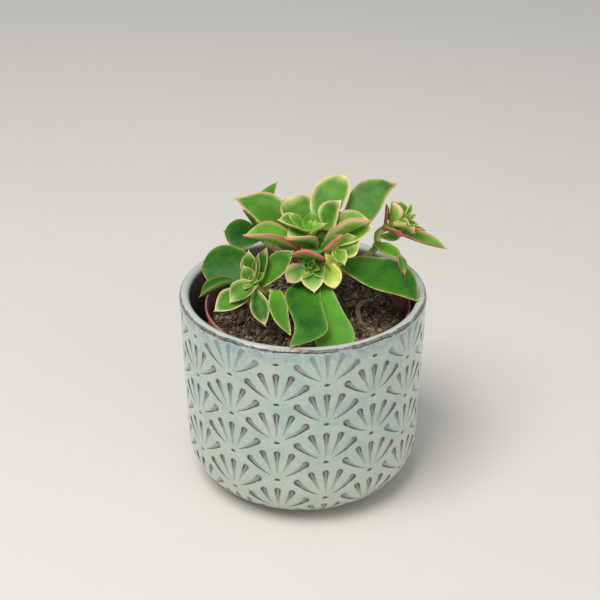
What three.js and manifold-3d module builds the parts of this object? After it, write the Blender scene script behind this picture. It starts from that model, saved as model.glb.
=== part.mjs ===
// A potted aeonium: a branching succulent in a plastic nursery pot that stands inside a
// glazed ceramic cover pot.
//
// Millimetres, +Z up. The origin is the middle of the cover pot's flat base; -Y is the front.
// Every leaf, stem and pot is its own closed solid, and pieces that meet keep a small gap.

import * as THREE from 'three';
import { mergeVertices } from 'three/addons/utils/BufferGeometryUtils.js';
import Module from 'manifold-3d';

const wasm = await Module();
wasm.setup();

// --- Driving dimensions -------------------------------------------------------------------

const GAP = 0.3; // clearance left between pots, soil and stems
const LEAF_GAP = 0.5; // how much a placed leaf is grown before the next one is cut round it

const POT = {
  height: 110,
  radius: 65, // outside, at the rim
  footRadius: 63.4, // outside, where the wall meets the base corner
  cornerRadius: 25, // outside base corner
  wall: 5.4,
  floor: 7,
  innerCornerRadius: 16,
};

const NURSERY = {
  centreX: 2.7, // it stands slightly off centre in the cover pot
  rimHeight: 102,
  rimRadius: 54.3,
  rimBand: 2.2,
  collarRadius: 53.1,
  collarDrop: 10.8, // rim to the step below it
  bodyRadius: 50.2, // just under the step
  baseRadius: 37.5,
  wall: 1.1,
  drainRadius: 3.5,
  drainCircle: 25,
  drainCount: 6,
};

const SOIL = {
  edgeHeight: 94.6,
  crownHeight: 96.4,
};

const LEAF = {
  rows: 7,
  columns: 6,
  neck: 0.3, // width at the base, as a share of the widest
  widest: 0.58, // where along the leaf it is widest
  thickness: 2.0,
};

const HEART_MESH = { rows: 4, columns: 6 }; // the small bud leaves need fewer facets

const COLOUR = {
  outerLeaf: '#3f8a34',
  innerLeaf: '#86b84e',
  goldLeaf: '#b9c255',
  stem: '#8f9a45',
};

// --- Solids -------------------------------------------------------------------------------

/** Turns a closed three.js geometry into a manifold solid. */
function toSolid(geometry) {
  const bare = geometry.clone();
  bare.deleteAttribute('normal');
  bare.deleteAttribute('uv');
  const welded = mergeVertices(bare.index ? bare : mergeVertices(bare), 1e-4);
  const mesh = new wasm.Mesh({
    numProp: 3,
    vertProperties: new Float32Array(welded.attributes.position.array),
    triVerts: new Uint32Array(welded.index.array),
  });
  return new wasm.Manifold(mesh);
}

/** Turns a manifold solid back into a three.js geometry. */
function toGeometry(solid) {
  const { vertProperties, triVerts } = solid.getMesh();
  const geometry = new THREE.BufferGeometry();
  geometry.setAttribute('position', new THREE.BufferAttribute(new Float32Array(vertProperties), 3));
  geometry.setIndex(new THREE.BufferAttribute(new Uint32Array(triVerts), 1));
  return geometry;
}

/** The biggest separate body of a solid: crumbs left by a cut are dropped. */
function biggest(solid) {
  const bodies = solid.decompose();
  return bodies.reduce((best, body) => (body.volume() > best.volume() ? body : best));
}

/** Points of a quarter or half round, in the lathe's (radius, height) plane. */
function arc(centreR, centreZ, radius, fromDegrees, toDegrees, steps) {
  const points = [];
  for (let i = 0; i <= steps; i += 1) {
    const angle = THREE.MathUtils.degToRad(fromDegrees + ((toDegrees - fromDegrees) * i) / steps);
    points.push(new THREE.Vector2(centreR + radius * Math.cos(angle), centreZ + radius * Math.sin(angle)));
  }
  return points;
}

/** Turns a profile about Z. */
function turned(points, segments) {
  return new THREE.LatheGeometry(points, segments).rotateX(Math.PI / 2);
}

/** A round stem through hand-placed points; `grow` makes it fatter all round. */
function stemSolid(points, radius, grow = 0) {
  const curve = new THREE.CatmullRomCurve3(points.map((point) => new THREE.Vector3(...point)));
  const outline = new THREE.Shape().absarc(0, 0, radius + grow, 0, 2 * Math.PI);
  const geometry = new THREE.ExtrudeGeometry(outline, {
    extrudePath: curve,
    steps: 2 * (points.length - 1),
    curveSegments: 5,
  });
  return toSolid(geometry);
}

/** Half width of a leaf as a share of its widest half width; `s` runs 0 at the base to 1 at the tip. */
function leafOutline(s, widest) {
  if (s < widest) {
    return LEAF.neck + (1 - LEAF.neck) * Math.sin((s / widest) * (Math.PI / 2)) ** 1.15;
  }
  return 1 - ((s - widest) / (1 - widest)) ** 2;
}

/**
 * A fleshy leaf from `base` to `tip`, made by pulling a sphere out along the chord.
 * `up` is the side its face turns to and `roll` turns the face about the chord; `bend` arches
 * it, `cup` folds its edges up and `hook` carries its tip sideways. Angles in degrees.
 */
function leafSolid(leaf, up, grow = 0) {
  const { base, tip, width, roll = 0, bend = 0, cup = 0, hook = 0, widest = LEAF.widest } = leaf;
  const { thickness = LEAF.thickness, rows = LEAF.rows, columns = LEAF.columns } = leaf;
  const start = new THREE.Vector3(...base);
  const along = new THREE.Vector3(...tip).sub(start);
  const length = along.length();
  along.normalize();
  const normal = up.clone().addScaledVector(along, -up.dot(along)).normalize();
  normal.applyAxisAngle(along, THREE.MathUtils.degToRad(roll));
  const side = new THREE.Vector3().crossVectors(along, normal);

  const arch = THREE.MathUtils.degToRad(Math.abs(bend) < 1 ? 1 : bend);
  const archRadius = length / (2 * Math.sin(arch / 2));
  const fold = THREE.MathUtils.degToRad(cup);

  const geometry = new THREE.SphereGeometry(1, columns, rows);
  const position = geometry.attributes.position;
  const point = new THREE.Vector3();
  for (let i = 0; i < position.count; i += 1) {
    point.fromBufferAttribute(position, i);
    const row = Math.round((Math.acos(THREE.MathUtils.clamp(-point.y, -1, 1)) / Math.PI) * rows);
    // The first two rows share the base plane, so the cut end is flat.
    const s = Math.max(0, (row - 1) / (rows - 1));
    const ring = Math.hypot(point.x, point.z);
    const pole = ring < 1e-6 ? 0 : 1;
    const reach = pole ? ring : 1;
    const across = point.x / reach;
    const face = point.z / reach;

    const halfWidth = Math.max(0.35, (width / 2) * leafOutline(s, widest)) + grow;
    const halfThick = (thickness / 2) * (1 - 0.45 * s) * (0.4 + 0.6 * (1 - across * across)) + grow;
    const lift = fold * (0.35 + 0.65 * Math.abs(across));
    const x = pole * halfWidth * across * Math.cos(lift) + hook * s ** 3;
    const z = pole * (halfWidth * Math.abs(across) * Math.sin(lift) + halfThick * face);

    const turn = arch * (s - 0.5);
    const end = (row === 0 || row === 1 ? -grow : 0) + (row === rows ? grow : 0);
    const run = archRadius * (Math.sin(turn) + Math.sin(arch / 2)) + z * Math.sin(turn) + end;
    const rise = archRadius * (Math.cos(turn) - Math.cos(arch / 2)) + z * Math.cos(turn);
    point.copy(start).addScaledVector(along, run).addScaledVector(normal, rise).addScaledVector(side, x);
    position.setXYZ(i, point.x, point.y, point.z);
  }
  return toSolid(geometry);
}

/** The crowded young leaves at the middle of a rosette, joined into one solid. */
function heartSolid(heart, grow = 0) {
  const { centre, axis, count, length, width } = heart;
  const up = new THREE.Vector3(...axis).normalize();
  const aside = new THREE.Vector3(1, 0, 0).addScaledVector(up, -up.x).normalize();
  const middle = new THREE.Vector3(...centre);
  const foot = middle.clone().addScaledVector(up, -1.5);
  let solid = toSolid(new THREE.SphereGeometry(width * 0.4 + grow, 6, 4).translate(...foot.toArray()));
  for (let i = 0; i < count; i += 1) {
    const open = THREE.MathUtils.degToRad(6 + (48 * i) / count);
    const outward = aside.clone().applyAxisAngle(up, THREE.MathUtils.degToRad(137.5 * i));
    const reach = length * (0.75 + (0.35 * i) / count);
    const tip = foot.clone().addScaledVector(up, reach * Math.cos(open));
    tip.addScaledVector(outward, reach * Math.sin(open) + 0.8);
    const start = foot.clone().addScaledVector(outward, 0.6);
    const leaf = { base: start.toArray(), tip: tip.toArray(), width, cup: 35, thickness: 1.5, ...HEART_MESH };
    const inward = up.clone().addScaledVector(outward, -0.4);
    solid = solid.add(leafSolid(leaf, inward, grow));
  }
  return solid;
}

// --- The plant ----------------------------------------------------------------------------

// Each stem's points run from where it starts to where its leaves sit.
const STEMS = {
  main_stem: { points: [[2, 4, 86], [1, 6, 105], [3, 4, 122], [5, 1, 138], [5.8, 0.2, 144]], radius: 4 },
  left_stem: { points: [[-1, 5, 100], [-10, -4, 107], [-19, -11, 113], [-26, -14, 118]], radius: 2.4 },
  front_stem: { points: [[2, 3, 113], [3, -7, 121], [4, -15, 127], [4, -19, 130]], radius: 2 },
  gold_stem: { points: [[5, 3, 116], [11, -5, 125], [16, -11, 130], [17, -13, 132]], radius: 1.8 },
  right_stem: {
    points: [[4, 6, 108], [20, 4, 117], [31, 5, 124], [38, 9, 129], [40, 11, 135], [47, 12, 140]],
    radius: 1.9,
  },
  back_left_stem: { points: [[0, 8, 110], [-12, 17, 122], [-22, 20, 130], [-25, 25, 138]], radius: 1.9 },
};

// Each heart is the bud of a rosette; `axis` is the way the rosette faces.
const HEARTS = {
  main: { centre: [6, 0, 146], axis: [0.05, -0.15, 1], count: 6, length: 9.5, width: 7.5 },
  left: { centre: [-26, -15, 121], axis: [-0.15, -0.55, 0.85], count: 5, length: 6, width: 4.5 },
  front: { centre: [4, -20, 132], axis: [0.05, -0.6, 0.8], count: 5, length: 5.5, width: 4.5 },
  gold: { centre: [17, -13.5, 134], axis: [0.3, -0.45, 0.8], count: 5, length: 5.5, width: 4.2 },
  right: { centre: [53, 12, 141], axis: [0.85, -0.2, 0.5], count: 6, length: 8, width: 5 },
};

// The leaves of each rosette, outermost first. A leaf's face turns towards its rosette's axis.
const ROSETTE_LEAVES = {
  main: {
    back_low: { base: [3, 6, 134], tip: [-5, 33, 142], width: 22, bend: 20, cup: 20 },
    back_low_right: { base: [7, 3.6, 131.6], tip: [27, 30, 138], width: 22, bend: 20, cup: 20 },
    back: { base: [7, 4, 142], tip: [22, 22, 164.5], width: 22, bend: 20, cup: 20 },
    right_back: { base: [8, 2.4, 136.4], tip: [48, 15, 161.5], width: 26, roll: 22, bend: 15, cup: 15 },
    left_back: { base: [-1, 3, 133], tip: [-35, 12, 155], width: 22, roll: -20, bend: 25, cup: 20 },
    left: { base: [0, -4, 133], tip: [-29, -8, 144], width: 20, roll: 5, bend: 25, cup: 38 },
    front: { base: [3.8, -0.6, 128.4], tip: [2, -30, 147], width: 18, bend: -5, cup: -8, thickness: 2.6 },
    front_middle: { base: [5, -2, 135], tip: [8, -22, 144], width: 18, bend: 10, cup: 15 },
    front_right: { base: [7, -1.2, 135], tip: [20, -19, 148], width: 16, bend: 5, cup: 20 },
    right: { base: [7.6, -0.8, 136.6], tip: [35, -6, 150], width: 22, bend: 5, cup: 45 },
    upper_left: { base: [1, 3, 144], tip: [-9, 11, 157.5], width: 22, bend: 5, cup: 20 },
    upper_right: { base: [9, 2, 144], tip: [20, 6, 156], width: 19, bend: 5, cup: 25 },
    inner_left: { base: [3, -1, 143], tip: [-12, -8, 152], width: 14, roll: -5, bend: 5, cup: 25 },
    inner_front: { base: [5, -1.8, 138.4], tip: [-6, -15, 147], width: 20, roll: 10, bend: 15, cup: 18 },
    inner_spiky: { base: [8, -3, 143], tip: [11, -8, 150], width: 9, bend: 5, cup: 35 },
  },
  gold: {
    right: { base: [19, -12, 134], tip: [27.5, -8, 142.5], width: 12, bend: 10, cup: 30 },
    lower_right: { base: [19, -15, 133.5], tip: [20.5, -20, 133], width: 8, bend: 20, cup: 35 },
    lower: { base: [16.4, -13.6, 131.2], tip: [14.5, -28, 122.5], width: 12, bend: 10, cup: 30 },
  },
  front: {
    left: { base: [2, -20, 131], tip: [-9.5, -26, 129], width: 14, bend: 15, cup: 30 },
    lower: { base: [4, -21, 130], tip: [6, -31, 125], width: 12, bend: 10, cup: 20 },
    right: { base: [6, -20, 131], tip: [10, -27, 130], width: 8, bend: 10, cup: 30 },
  },
  left: {
    upper_right: { base: [-21.6, -12.8, 117.2], tip: [-5, -12, 137], width: 14, bend: 15, cup: 20 },
    upright: { base: [-25.2, -12.6, 119.2], tip: [-18.5, -8, 137], width: 10, bend: 5, cup: 45 },
    upper_left: { base: [-26.2, -12.8, 119.2], tip: [-29, -9, 135], width: 11, bend: 5, cup: 30 },
    inner: { base: [-27, -14, 120], tip: [-30, -15, 129], width: 9, bend: 5, cup: 30 },
    lower_left: { base: [-27, -16, 119], tip: [-36.5, -26, 115.5], width: 14, bend: 5, cup: 35 },
    lowest: { base: [-27, -15, 117], tip: [-44, -28, 111.5], width: 14, bend: 10, cup: 25 },
    lower: { base: [-25, -15.6, 117.4], tip: [-19, -35, 107], width: 12, bend: 10, cup: 30 },
  },
  right: {
    top: { base: [45, 13, 139], tip: [48.5, 15, 152.5], width: 14, bend: 5, cup: 30 },
    edge_on: { base: [43, 12, 140], tip: [43, 12, 150], width: 9, bend: 5, cup: 40 },
    front: { base: [47, 9, 139], tip: [57, 6, 138.5], width: 15, bend: 30, cup: 30 },
    low: { base: [42, 9, 140], tip: [51, 5, 137], width: 12, bend: 15, cup: 30 },
    long: { base: [47.6, 12, 138.8], tip: [75, 8, 129], width: 12, roll: -10, bend: -5, cup: 25 },
    small_low: { base: [42, 13, 134], tip: [49, 15, 131], width: 10, bend: 10, cup: 20 },
  },
};

// Leaves that grow straight from a stem. A stalk's points run from the stem into the blade.
const STEM_LEAVES = {
  left_broad: {
    base: [-22, -2, 122],
    tip: [-53, 4, 120],
    width: 24,
    roll: -40,
    bend: 25,
    cup: 20,
    stalk: [[-19.4, -10.6, 113.4], [-19.8, -6, 118], [-24, -1.6, 121.9]],
  },
  left_folded: {
    base: [-33, -6, 116],
    tip: [-53, -12, 111],
    width: 13,
    bend: 20,
    cup: 50,
    stalk: [[-24.6, -13.4, 117], [-28.5, -9.4, 116.6], [-34.9, -6.6, 115.5]],
  },
  back_left_round: { base: [-22.4, 18.6, 129.6], tip: [-42, 20, 131], width: 20, roll: -55, bend: 10, cup: 15 },
  back_left_narrow: { base: [-23, 19.9, 132], tip: [-31, 16, 147], width: 8, roll: 20, bend: 10, cup: 30 },
  back_spike: { base: [-25, 25, 138], tip: [-14, 34, 155], width: 9, bend: 20, cup: 20 },
  back_middle: { base: [2, 7, 115], tip: [12, 42, 117], width: 22, bend: 25, cup: 15 },
  left_front: {
    base: [-14, -18, 117],
    tip: [-7, -43, 105.5],
    width: 13,
    bend: 15,
    cup: 20,
    stalk: [[-18.6, -10.9, 112.8], [-16.6, -14.6, 115.6], [-13.5, -19.8, 116.2]],
  },
  right_curled: { base: [38.4, 8.6, 129.4], tip: [53, -4, 118], width: 11, roll: 20, bend: 30, cup: 40 },
  right_broad: { base: [15, -9.4, 128.8], tip: [59, -14, 111.5], width: 24, roll: 20, bend: 12, cup: 15 },
  hanging_dark: {
    base: [4, -15, 124],
    tip: [4, -61, 111.8],
    width: 20,
    bend: 15,
    cup: 10,
    hook: 9,
    widest: 0.66,
  },
  hanging_light: { base: [8, -14, 126], tip: [19, -54, 105], width: 21, bend: 25, cup: 10, widest: 0.75 },
};
const STEM_LEAF_UP = new THREE.Vector3(0, -0.2, 1);
const STALK_RADIUS = 1.2;

// A bare root that arches out of the soil and back in.
const ROOT = { points: [[38, 13, 93], [36, 9, 97], [30, 2, 98], [29, -5, 97.5], [31, -12, 93]], radius: 1.3 };

/** A leaf that grows straight from a stem, joined to its stalk where it has one. */
function stemLeafSolid(leaf, grow = 0) {
  const blade = leafSolid(leaf, STEM_LEAF_UP, grow);
  return leaf.stalk ? blade.add(stemSolid(leaf.stalk, STALK_RADIUS, grow)) : blade;
}

// --- Pieces -------------------------------------------------------------------------------

const group = new THREE.Group();
group.name = 'potted_aeonium';

/** Adds one named mesh with its own material. */
function addMesh(name, geometry, color, roughness) {
  const material = new THREE.MeshStandardMaterial({ color, roughness, metalness: 0 });
  const mesh = new THREE.Mesh(geometry, material);
  mesh.name = name;
  group.add(mesh);
}

/** The ceramic pot: a straight wall on a well rounded base corner, with a rounded rim. */
function coverPot() {
  const lip = POT.wall / 2;
  const lipHeight = POT.height - lip;
  const innerFoot = POT.footRadius - POT.wall;
  return turned(
    [
      new THREE.Vector2(0, 0),
      ...arc(POT.footRadius - POT.cornerRadius, POT.cornerRadius, POT.cornerRadius, -90, 0, 5),
      ...arc(POT.radius - lip, lipHeight, lip, 0, 180, 6),
      ...arc(innerFoot - POT.innerCornerRadius, POT.floor + POT.innerCornerRadius, POT.innerCornerRadius, 0, -90, 4),
      new THREE.Vector2(0, POT.floor),
    ],
    48,
  );
}

/** The thin plastic pot inside: tapered body, a step out to the collar, a small rolled rim. */
function nurseryPot() {
  const n = NURSERY;
  const base = POT.floor + GAP;
  const step = n.rimHeight - n.collarDrop;
  const profile = [
    [0, base],
    [n.baseRadius, base],
    [n.bodyRadius, step],
    [n.collarRadius - 0.5, step + 0.4],
    [n.collarRadius, n.rimHeight - n.rimBand],
    [n.rimRadius, n.rimHeight - n.rimBand],
    [n.rimRadius, n.rimHeight],
    [n.collarRadius - n.wall, n.rimHeight],
    [n.collarRadius - 0.5 - n.wall, step + 0.4 + n.wall],
    [n.bodyRadius - n.wall, step + n.wall],
    [n.baseRadius - n.wall, base + n.wall],
    [0, base + n.wall],
  ].map(([r, z]) => new THREE.Vector2(r, z));
  let solid = toSolid(turned(profile, 48));
  for (let i = 0; i < n.drainCount; i += 1) {
    const angle = (2 * Math.PI * i) / n.drainCount;
    const hole = new THREE.CylinderGeometry(n.drainRadius, n.drainRadius, 4 * n.wall, 12).rotateX(Math.PI / 2);
    hole.translate(n.drainCircle * Math.cos(angle), n.drainCircle * Math.sin(angle), base + n.wall / 2);
    solid = solid.subtract(toSolid(hole));
  }
  return toGeometry(solid.translate([n.centreX, 0, 0]));
}

/** Soil filling the nursery pot to just below its rim, slightly heaped, cut round the stems. */
function pottingSoil(buried) {
  const n = NURSERY;
  const base = POT.floor + GAP + n.wall + GAP;
  const step = n.rimHeight - n.collarDrop + n.wall;
  const slack = n.wall + GAP;
  const profile = [
    [0, base],
    [n.baseRadius - slack, base],
    [n.bodyRadius - slack, step],
    [n.bodyRadius - slack, step + 0.4 + GAP],
    [n.collarRadius - 0.6 - slack, step + 0.4 + GAP],
    [n.collarRadius - 0.6 - slack, SOIL.edgeHeight],
    [0.6 * n.bodyRadius, SOIL.crownHeight - 0.4],
    [0, SOIL.crownHeight],
  ].map(([r, z]) => new THREE.Vector2(r, z));
  let solid = toSolid(turned(profile, 36).translate(n.centreX, 0, 0));
  for (const piece of buried) {
    solid = solid.subtract(piece);
  }
  return toGeometry(biggest(solid));
}

// --- Assembly -----------------------------------------------------------------------------

addMesh('cover_pot', coverPot(), '#c8d5c0', 0.3);
addMesh('nursery_pot', nurseryPot(), '#a8584f', 0.5);

// Pieces already placed, with their grown copies, so that each new piece is cut clear of them.
const placed = [];

/** Cuts a solid clear of everything placed so far and adds it as a node. */
function addPiece(name, solid, grown, color, roughness) {
  const bounds = solid.boundingBox();
  let clear = solid;
  for (const other of placed) {
    const box = other.boundingBox();
    const apart = [0, 1, 2].some((k) => box.min[k] > bounds.max[k] || box.max[k] < bounds.min[k]);
    if (!apart) {
      clear = clear.subtract(other);
    }
  }
  placed.push(grown);
  addMesh(name, toGeometry(biggest(clear)), color, roughness);
}

for (const [name, stem] of Object.entries(STEMS)) {
  addPiece(name, stemSolid(stem.points, stem.radius), stemSolid(stem.points, stem.radius, GAP), COLOUR.stem, 0.5);
}
addPiece('surface_root', stemSolid(ROOT.points, ROOT.radius), stemSolid(ROOT.points, ROOT.radius, GAP), '#6b5e4c', 0.9);
addMesh('potting_soil', pottingSoil(placed), '#3b2c24', 0.95);

for (const [name, heart] of Object.entries(HEARTS)) {
  const color = name === 'gold' ? COLOUR.goldLeaf : COLOUR.innerLeaf;
  addPiece(`${name}_heart`, heartSolid(heart), heartSolid(heart, LEAF_GAP), color, 0.4);
}
for (const [rosette, leaves] of Object.entries(ROSETTE_LEAVES)) {
  const up = new THREE.Vector3(...HEARTS[rosette].axis).normalize();
  const color = rosette === 'gold' ? COLOUR.goldLeaf : COLOUR.innerLeaf;
  for (const [name, leaf] of Object.entries(leaves).reverse()) {
    addPiece(`${rosette}_leaf_${name}`, leafSolid(leaf, up), leafSolid(leaf, up, LEAF_GAP), color, 0.4);
  }
}
for (const [name, leaf] of Object.entries(STEM_LEAVES)) {
  addPiece(`${name}_leaf`, stemLeafSolid(leaf), stemLeafSolid(leaf, LEAF_GAP), COLOUR.outerLeaf, 0.45);
}

export default group;
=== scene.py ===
"""A potted aeonium: a branching succulent in a plastic nursery pot, inside a glazed cover pot.

Shapes are worked out in millimetres as whole numpy arrays and put into meshes in metres.
The origin is the middle of the cover pot's base, +Z is up and -Y is the front.
"""

import logging
import math
from dataclasses import dataclass, field
from enum import Enum
from typing import Sequence

import bpy
import numpy as np
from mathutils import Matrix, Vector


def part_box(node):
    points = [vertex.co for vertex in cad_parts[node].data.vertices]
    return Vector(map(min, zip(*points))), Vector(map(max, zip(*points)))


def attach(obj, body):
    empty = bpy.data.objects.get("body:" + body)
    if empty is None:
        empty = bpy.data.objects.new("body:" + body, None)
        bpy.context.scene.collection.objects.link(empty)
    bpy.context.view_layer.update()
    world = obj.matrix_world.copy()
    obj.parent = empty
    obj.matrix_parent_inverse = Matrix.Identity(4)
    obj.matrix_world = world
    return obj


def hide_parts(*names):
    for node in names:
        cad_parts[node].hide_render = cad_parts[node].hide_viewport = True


logging.basicConfig(level=logging.INFO, format="%(message)s")
log = logging.getLogger("aeonium")

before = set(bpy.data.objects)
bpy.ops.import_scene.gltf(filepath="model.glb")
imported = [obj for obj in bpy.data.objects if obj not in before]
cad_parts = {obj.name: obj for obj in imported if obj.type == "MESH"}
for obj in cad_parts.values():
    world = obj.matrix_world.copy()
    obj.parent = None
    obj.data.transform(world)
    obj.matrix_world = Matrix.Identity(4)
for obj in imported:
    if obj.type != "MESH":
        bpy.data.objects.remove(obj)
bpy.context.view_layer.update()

MM = 0.001
GOLDEN_ANGLE = 137.5
# Where the seeds of each kind of leaf's margin waves start.
YOUNG_SEED, EXTRA_SEED, LEAF_SEED, TUCKED_SEED, STEM_LEAF_SEED = 40, 60, 100, 150, 200
Triple = tuple[float, float, float]
Socket = bpy.types.NodeSocket | float | Sequence[float]


class Slot(Enum):
    """The record's material slots."""

    GLAZE = "cover_glaze"
    PLASTIC = "nursery_plastic"
    SOIL = "soil"
    ROOT = "root"
    STEM = "stem"
    OUTER_LEAF = "leaf_outer"
    INNER_LEAF = "leaf_inner"
    GOLD_LEAF = "leaf_gold"


def tint(red: float, green: float, blue: float) -> tuple[float, float, float, float]:
    """A colour given as 0 to 255 screen values, turned into linear light.

    Args:
        red: Red, 0 to 255.
        green: Green, 0 to 255.
        blue: Blue, 0 to 255.

    Returns:
        Linear red, green, blue and an alpha of 1.
    """
    parts = [v / 255 for v in (red, green, blue)]
    linear = [v / 12.92 if v <= 0.04045 else ((v + 0.055) / 1.055) ** 2.4 for v in parts]
    return (*linear, 1.0)


def ease(value: np.ndarray, low: float, high: float) -> np.ndarray:
    """A smooth step: 0 below low, 1 above high, with flat ends.

    Args:
        value: The values to step.
        low: Where the step starts.
        high: Where the step ends; it may be below low.

    Returns:
        3t^2 - 2t^3 of the share t of the way from low to high.
    """
    t = np.clip((value - low) / (high - low), 0, 1)
    return t * t * (3 - 2 * t)


def unit(vector: np.ndarray) -> np.ndarray:
    """The vectors along the last axis, scaled to length 1."""
    return vector / np.linalg.norm(vector, axis=-1, keepdims=True)


# --- Meshes -------------------------------------------------------------------------------


@dataclass
class Skin:
    """A closed surface held as arrays, in millimetres.

    Attributes:
        points: Corner positions, one row each.
        quads: Corner numbers of the four-sided faces.
        tris: Corner numbers of the three-sided faces.
        uv: Flat coordinates of each corner.
        marks: Named values of three numbers each, carried by the corners.
    """

    points: np.ndarray
    quads: np.ndarray
    tris: np.ndarray
    uv: np.ndarray
    marks: dict[str, np.ndarray] = field(default_factory=dict)

    @staticmethod
    def tube(
        rings: np.ndarray,
        ends: np.ndarray,
        uv: np.ndarray,
        end_uv: np.ndarray,
        marks: dict[str, np.ndarray],
        end_marks: dict[str, np.ndarray],
        turned_in: bool = False,
    ) -> "Skin":
        """Closes a tube of rings with a pole at each end.

        Args:
            rings: Positions, rows by columns by 3. Columns run round the tube.
            ends: The two pole positions.
            uv: Flat coordinates, rows by columns by 2.
            end_uv: Flat coordinates of the poles.
            marks: Named values, rows by columns by 3.
            end_marks: The same values at the two poles.
            turned_in: True where the columns run the other way round.

        Returns:
            The closed skin, with its faces turned out.
        """
        rows, columns = rings.shape[:2]
        grid = np.arange(rows * columns).reshape(rows, columns)
        after = np.roll(grid, -1, axis=1)
        quads = np.stack([grid[:-1], grid[1:], after[1:], after[:-1]], -1).reshape(-1, 4)
        first, last = rows * columns, rows * columns + 1
        foot = np.stack([np.full(columns, first), grid[0], after[0]], -1)
        head = np.stack([np.full(columns, last), after[-1], grid[-1]], -1)
        tris = np.concatenate([foot, head])
        if turned_in:
            quads, tris = quads[:, ::-1], tris[:, ::-1]
        joined = {
            name: np.concatenate([value.reshape(-1, 3), end_marks[name]])
            for name, value in marks.items()
        }
        return Skin(
            np.concatenate([rings.reshape(-1, 3), ends]),
            quads,
            tris,
            np.concatenate([uv.reshape(-1, 2), end_uv]),
            joined,
        )

    @staticmethod
    def joined(skins: Sequence["Skin"]) -> "Skin":
        """Several skins as one mesh, each still closed by itself.

        Args:
            skins: The skins, all with the same marks.

        Returns:
            One skin that holds them all.
        """
        starts = np.cumsum([0] + [len(s.points) for s in skins[:-1]])
        return Skin(
            np.concatenate([s.points for s in skins]),
            np.concatenate([s.quads + start for s, start in zip(skins, starts)]),
            np.concatenate([s.tris + start for s, start in zip(skins, starts)]),
            np.concatenate([s.uv for s in skins]),
            {name: np.concatenate([s.marks[name] for s in skins]) for name in skins[0].marks},
        )

    def piece(self, name: str, slot: Slot, material: bpy.types.Material, *nodes: str,
              faceted: bool = False) -> bpy.types.Object:
        """Makes the skin an object that rides on the part and stands for its nodes.

        Args:
            name: The object's name.
            slot: The record's slot; not used.
            material: Its material.
            *nodes: The solids that it stands for.
            faceted: Whether its faces stay flat.

        Returns:
            The new object, at the origin, with its place in its mesh.
        """
        mesh = bpy.data.meshes.new(name)
        mesh.from_pydata((self.points * MM).tolist(), [], self.quads.tolist() + self.tris.tolist())
        corners = np.concatenate([self.quads.ravel(), self.tris.ravel()])
        mesh.uv_layers.new(name="UVMap").data.foreach_set("uv", self.uv[corners].astype(np.float32).ravel())
        for mark, value in self.marks.items():
            store = mesh.attributes.new(mark, "FLOAT_VECTOR", "POINT")
            store.data.foreach_set("vector", value.astype(np.float32).ravel())
        mesh.materials.append(material)
        if not faceted:
            mesh.shade_smooth()
        mesh.update()
        obj = bpy.data.objects.new(name, mesh)
        bpy.context.scene.collection.objects.link(obj)
        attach(obj, "root")
        if nodes:
            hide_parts(*nodes)
        log.info("%s: %d points, stands for %s", name, len(self.points), ", ".join(nodes) or "itself")
        return obj


def curve_points(points: Sequence[Triple], samples: int) -> np.ndarray:
    """A smooth path through points, by uniform Catmull-Rom.

    Between two points the path is the cubic whose slope at each is half the chord between
    that point's neighbours; the end slopes come from mirrored neighbours.

    Args:
        points: The points passed through.
        samples: How many positions to return.

    Returns:
        Positions along the path, one row each.
    """
    p = np.array(points, float)
    p = np.concatenate([[2 * p[0] - p[1]], p, [2 * p[-1] - p[-2]]])
    t = np.linspace(0, len(points) - 1, samples)
    i = np.minimum(t.astype(int), len(points) - 2)
    u = (t - i)[:, None]
    a, b, c, d = p[i], p[i + 1], p[i + 2], p[i + 3]
    return 0.5 * (2 * b + (c - a) * u + (2 * a - 5 * b + 4 * c - d) * u**2 + (3 * b - a - 3 * c + d) * u**3)


def path_tube(
    path: np.ndarray, radius: np.ndarray, around: int, marks: dict[str, np.ndarray] | None = None
) -> Skin:
    """A round tube along a path, closed by a pole at each end.

    Each ring is the path's position plus radius x (side cos a + lift sin a), where side and
    lift are square to the path.

    Args:
        path: Positions along the path.
        radius: The radius, one per position, or rows by columns.
        around: Corners in each ring.
        marks: Values of three numbers for each position, named.

    Returns:
        The tube's skin; its UV is the angle's share and the distance along, in centimetres.
    """
    slope = unit(np.gradient(path, axis=0))
    chord = path[-1] - path[0]
    aside = np.eye(3)[np.argmin(np.abs(chord))]
    lift = unit(np.cross(slope, aside))
    side = np.cross(lift, slope)
    angle = np.linspace(0, 2 * math.pi, around, endpoint=False)
    radius = radius[:, None] if radius.ndim == 1 else radius
    spoke = side[:, None] * np.cos(angle)[None, :, None] + lift[:, None] * np.sin(angle)[None, :, None]
    rings = path[:, None] + spoke * radius[..., None]
    run = np.concatenate([[0], np.cumsum(np.linalg.norm(np.diff(path, axis=0), axis=1))]) / 10
    uv = np.stack(np.broadcast_arrays((angle / (2 * math.pi))[None], run[:, None]), -1)
    end_uv = np.array([[0.5, run[0]], [0.5, run[-1]]])
    marks = marks or {}
    spread = {k: np.broadcast_to(v[:, None], (len(path), around, 3)) for k, v in marks.items()}
    caps = {k: v[[0, -1]] for k, v in marks.items()}
    return Skin.tube(rings, path[[0, -1]], uv, end_uv, spread, caps, turned_in=True)


# --- Shader nodes -------------------------------------------------------------------------


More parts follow.
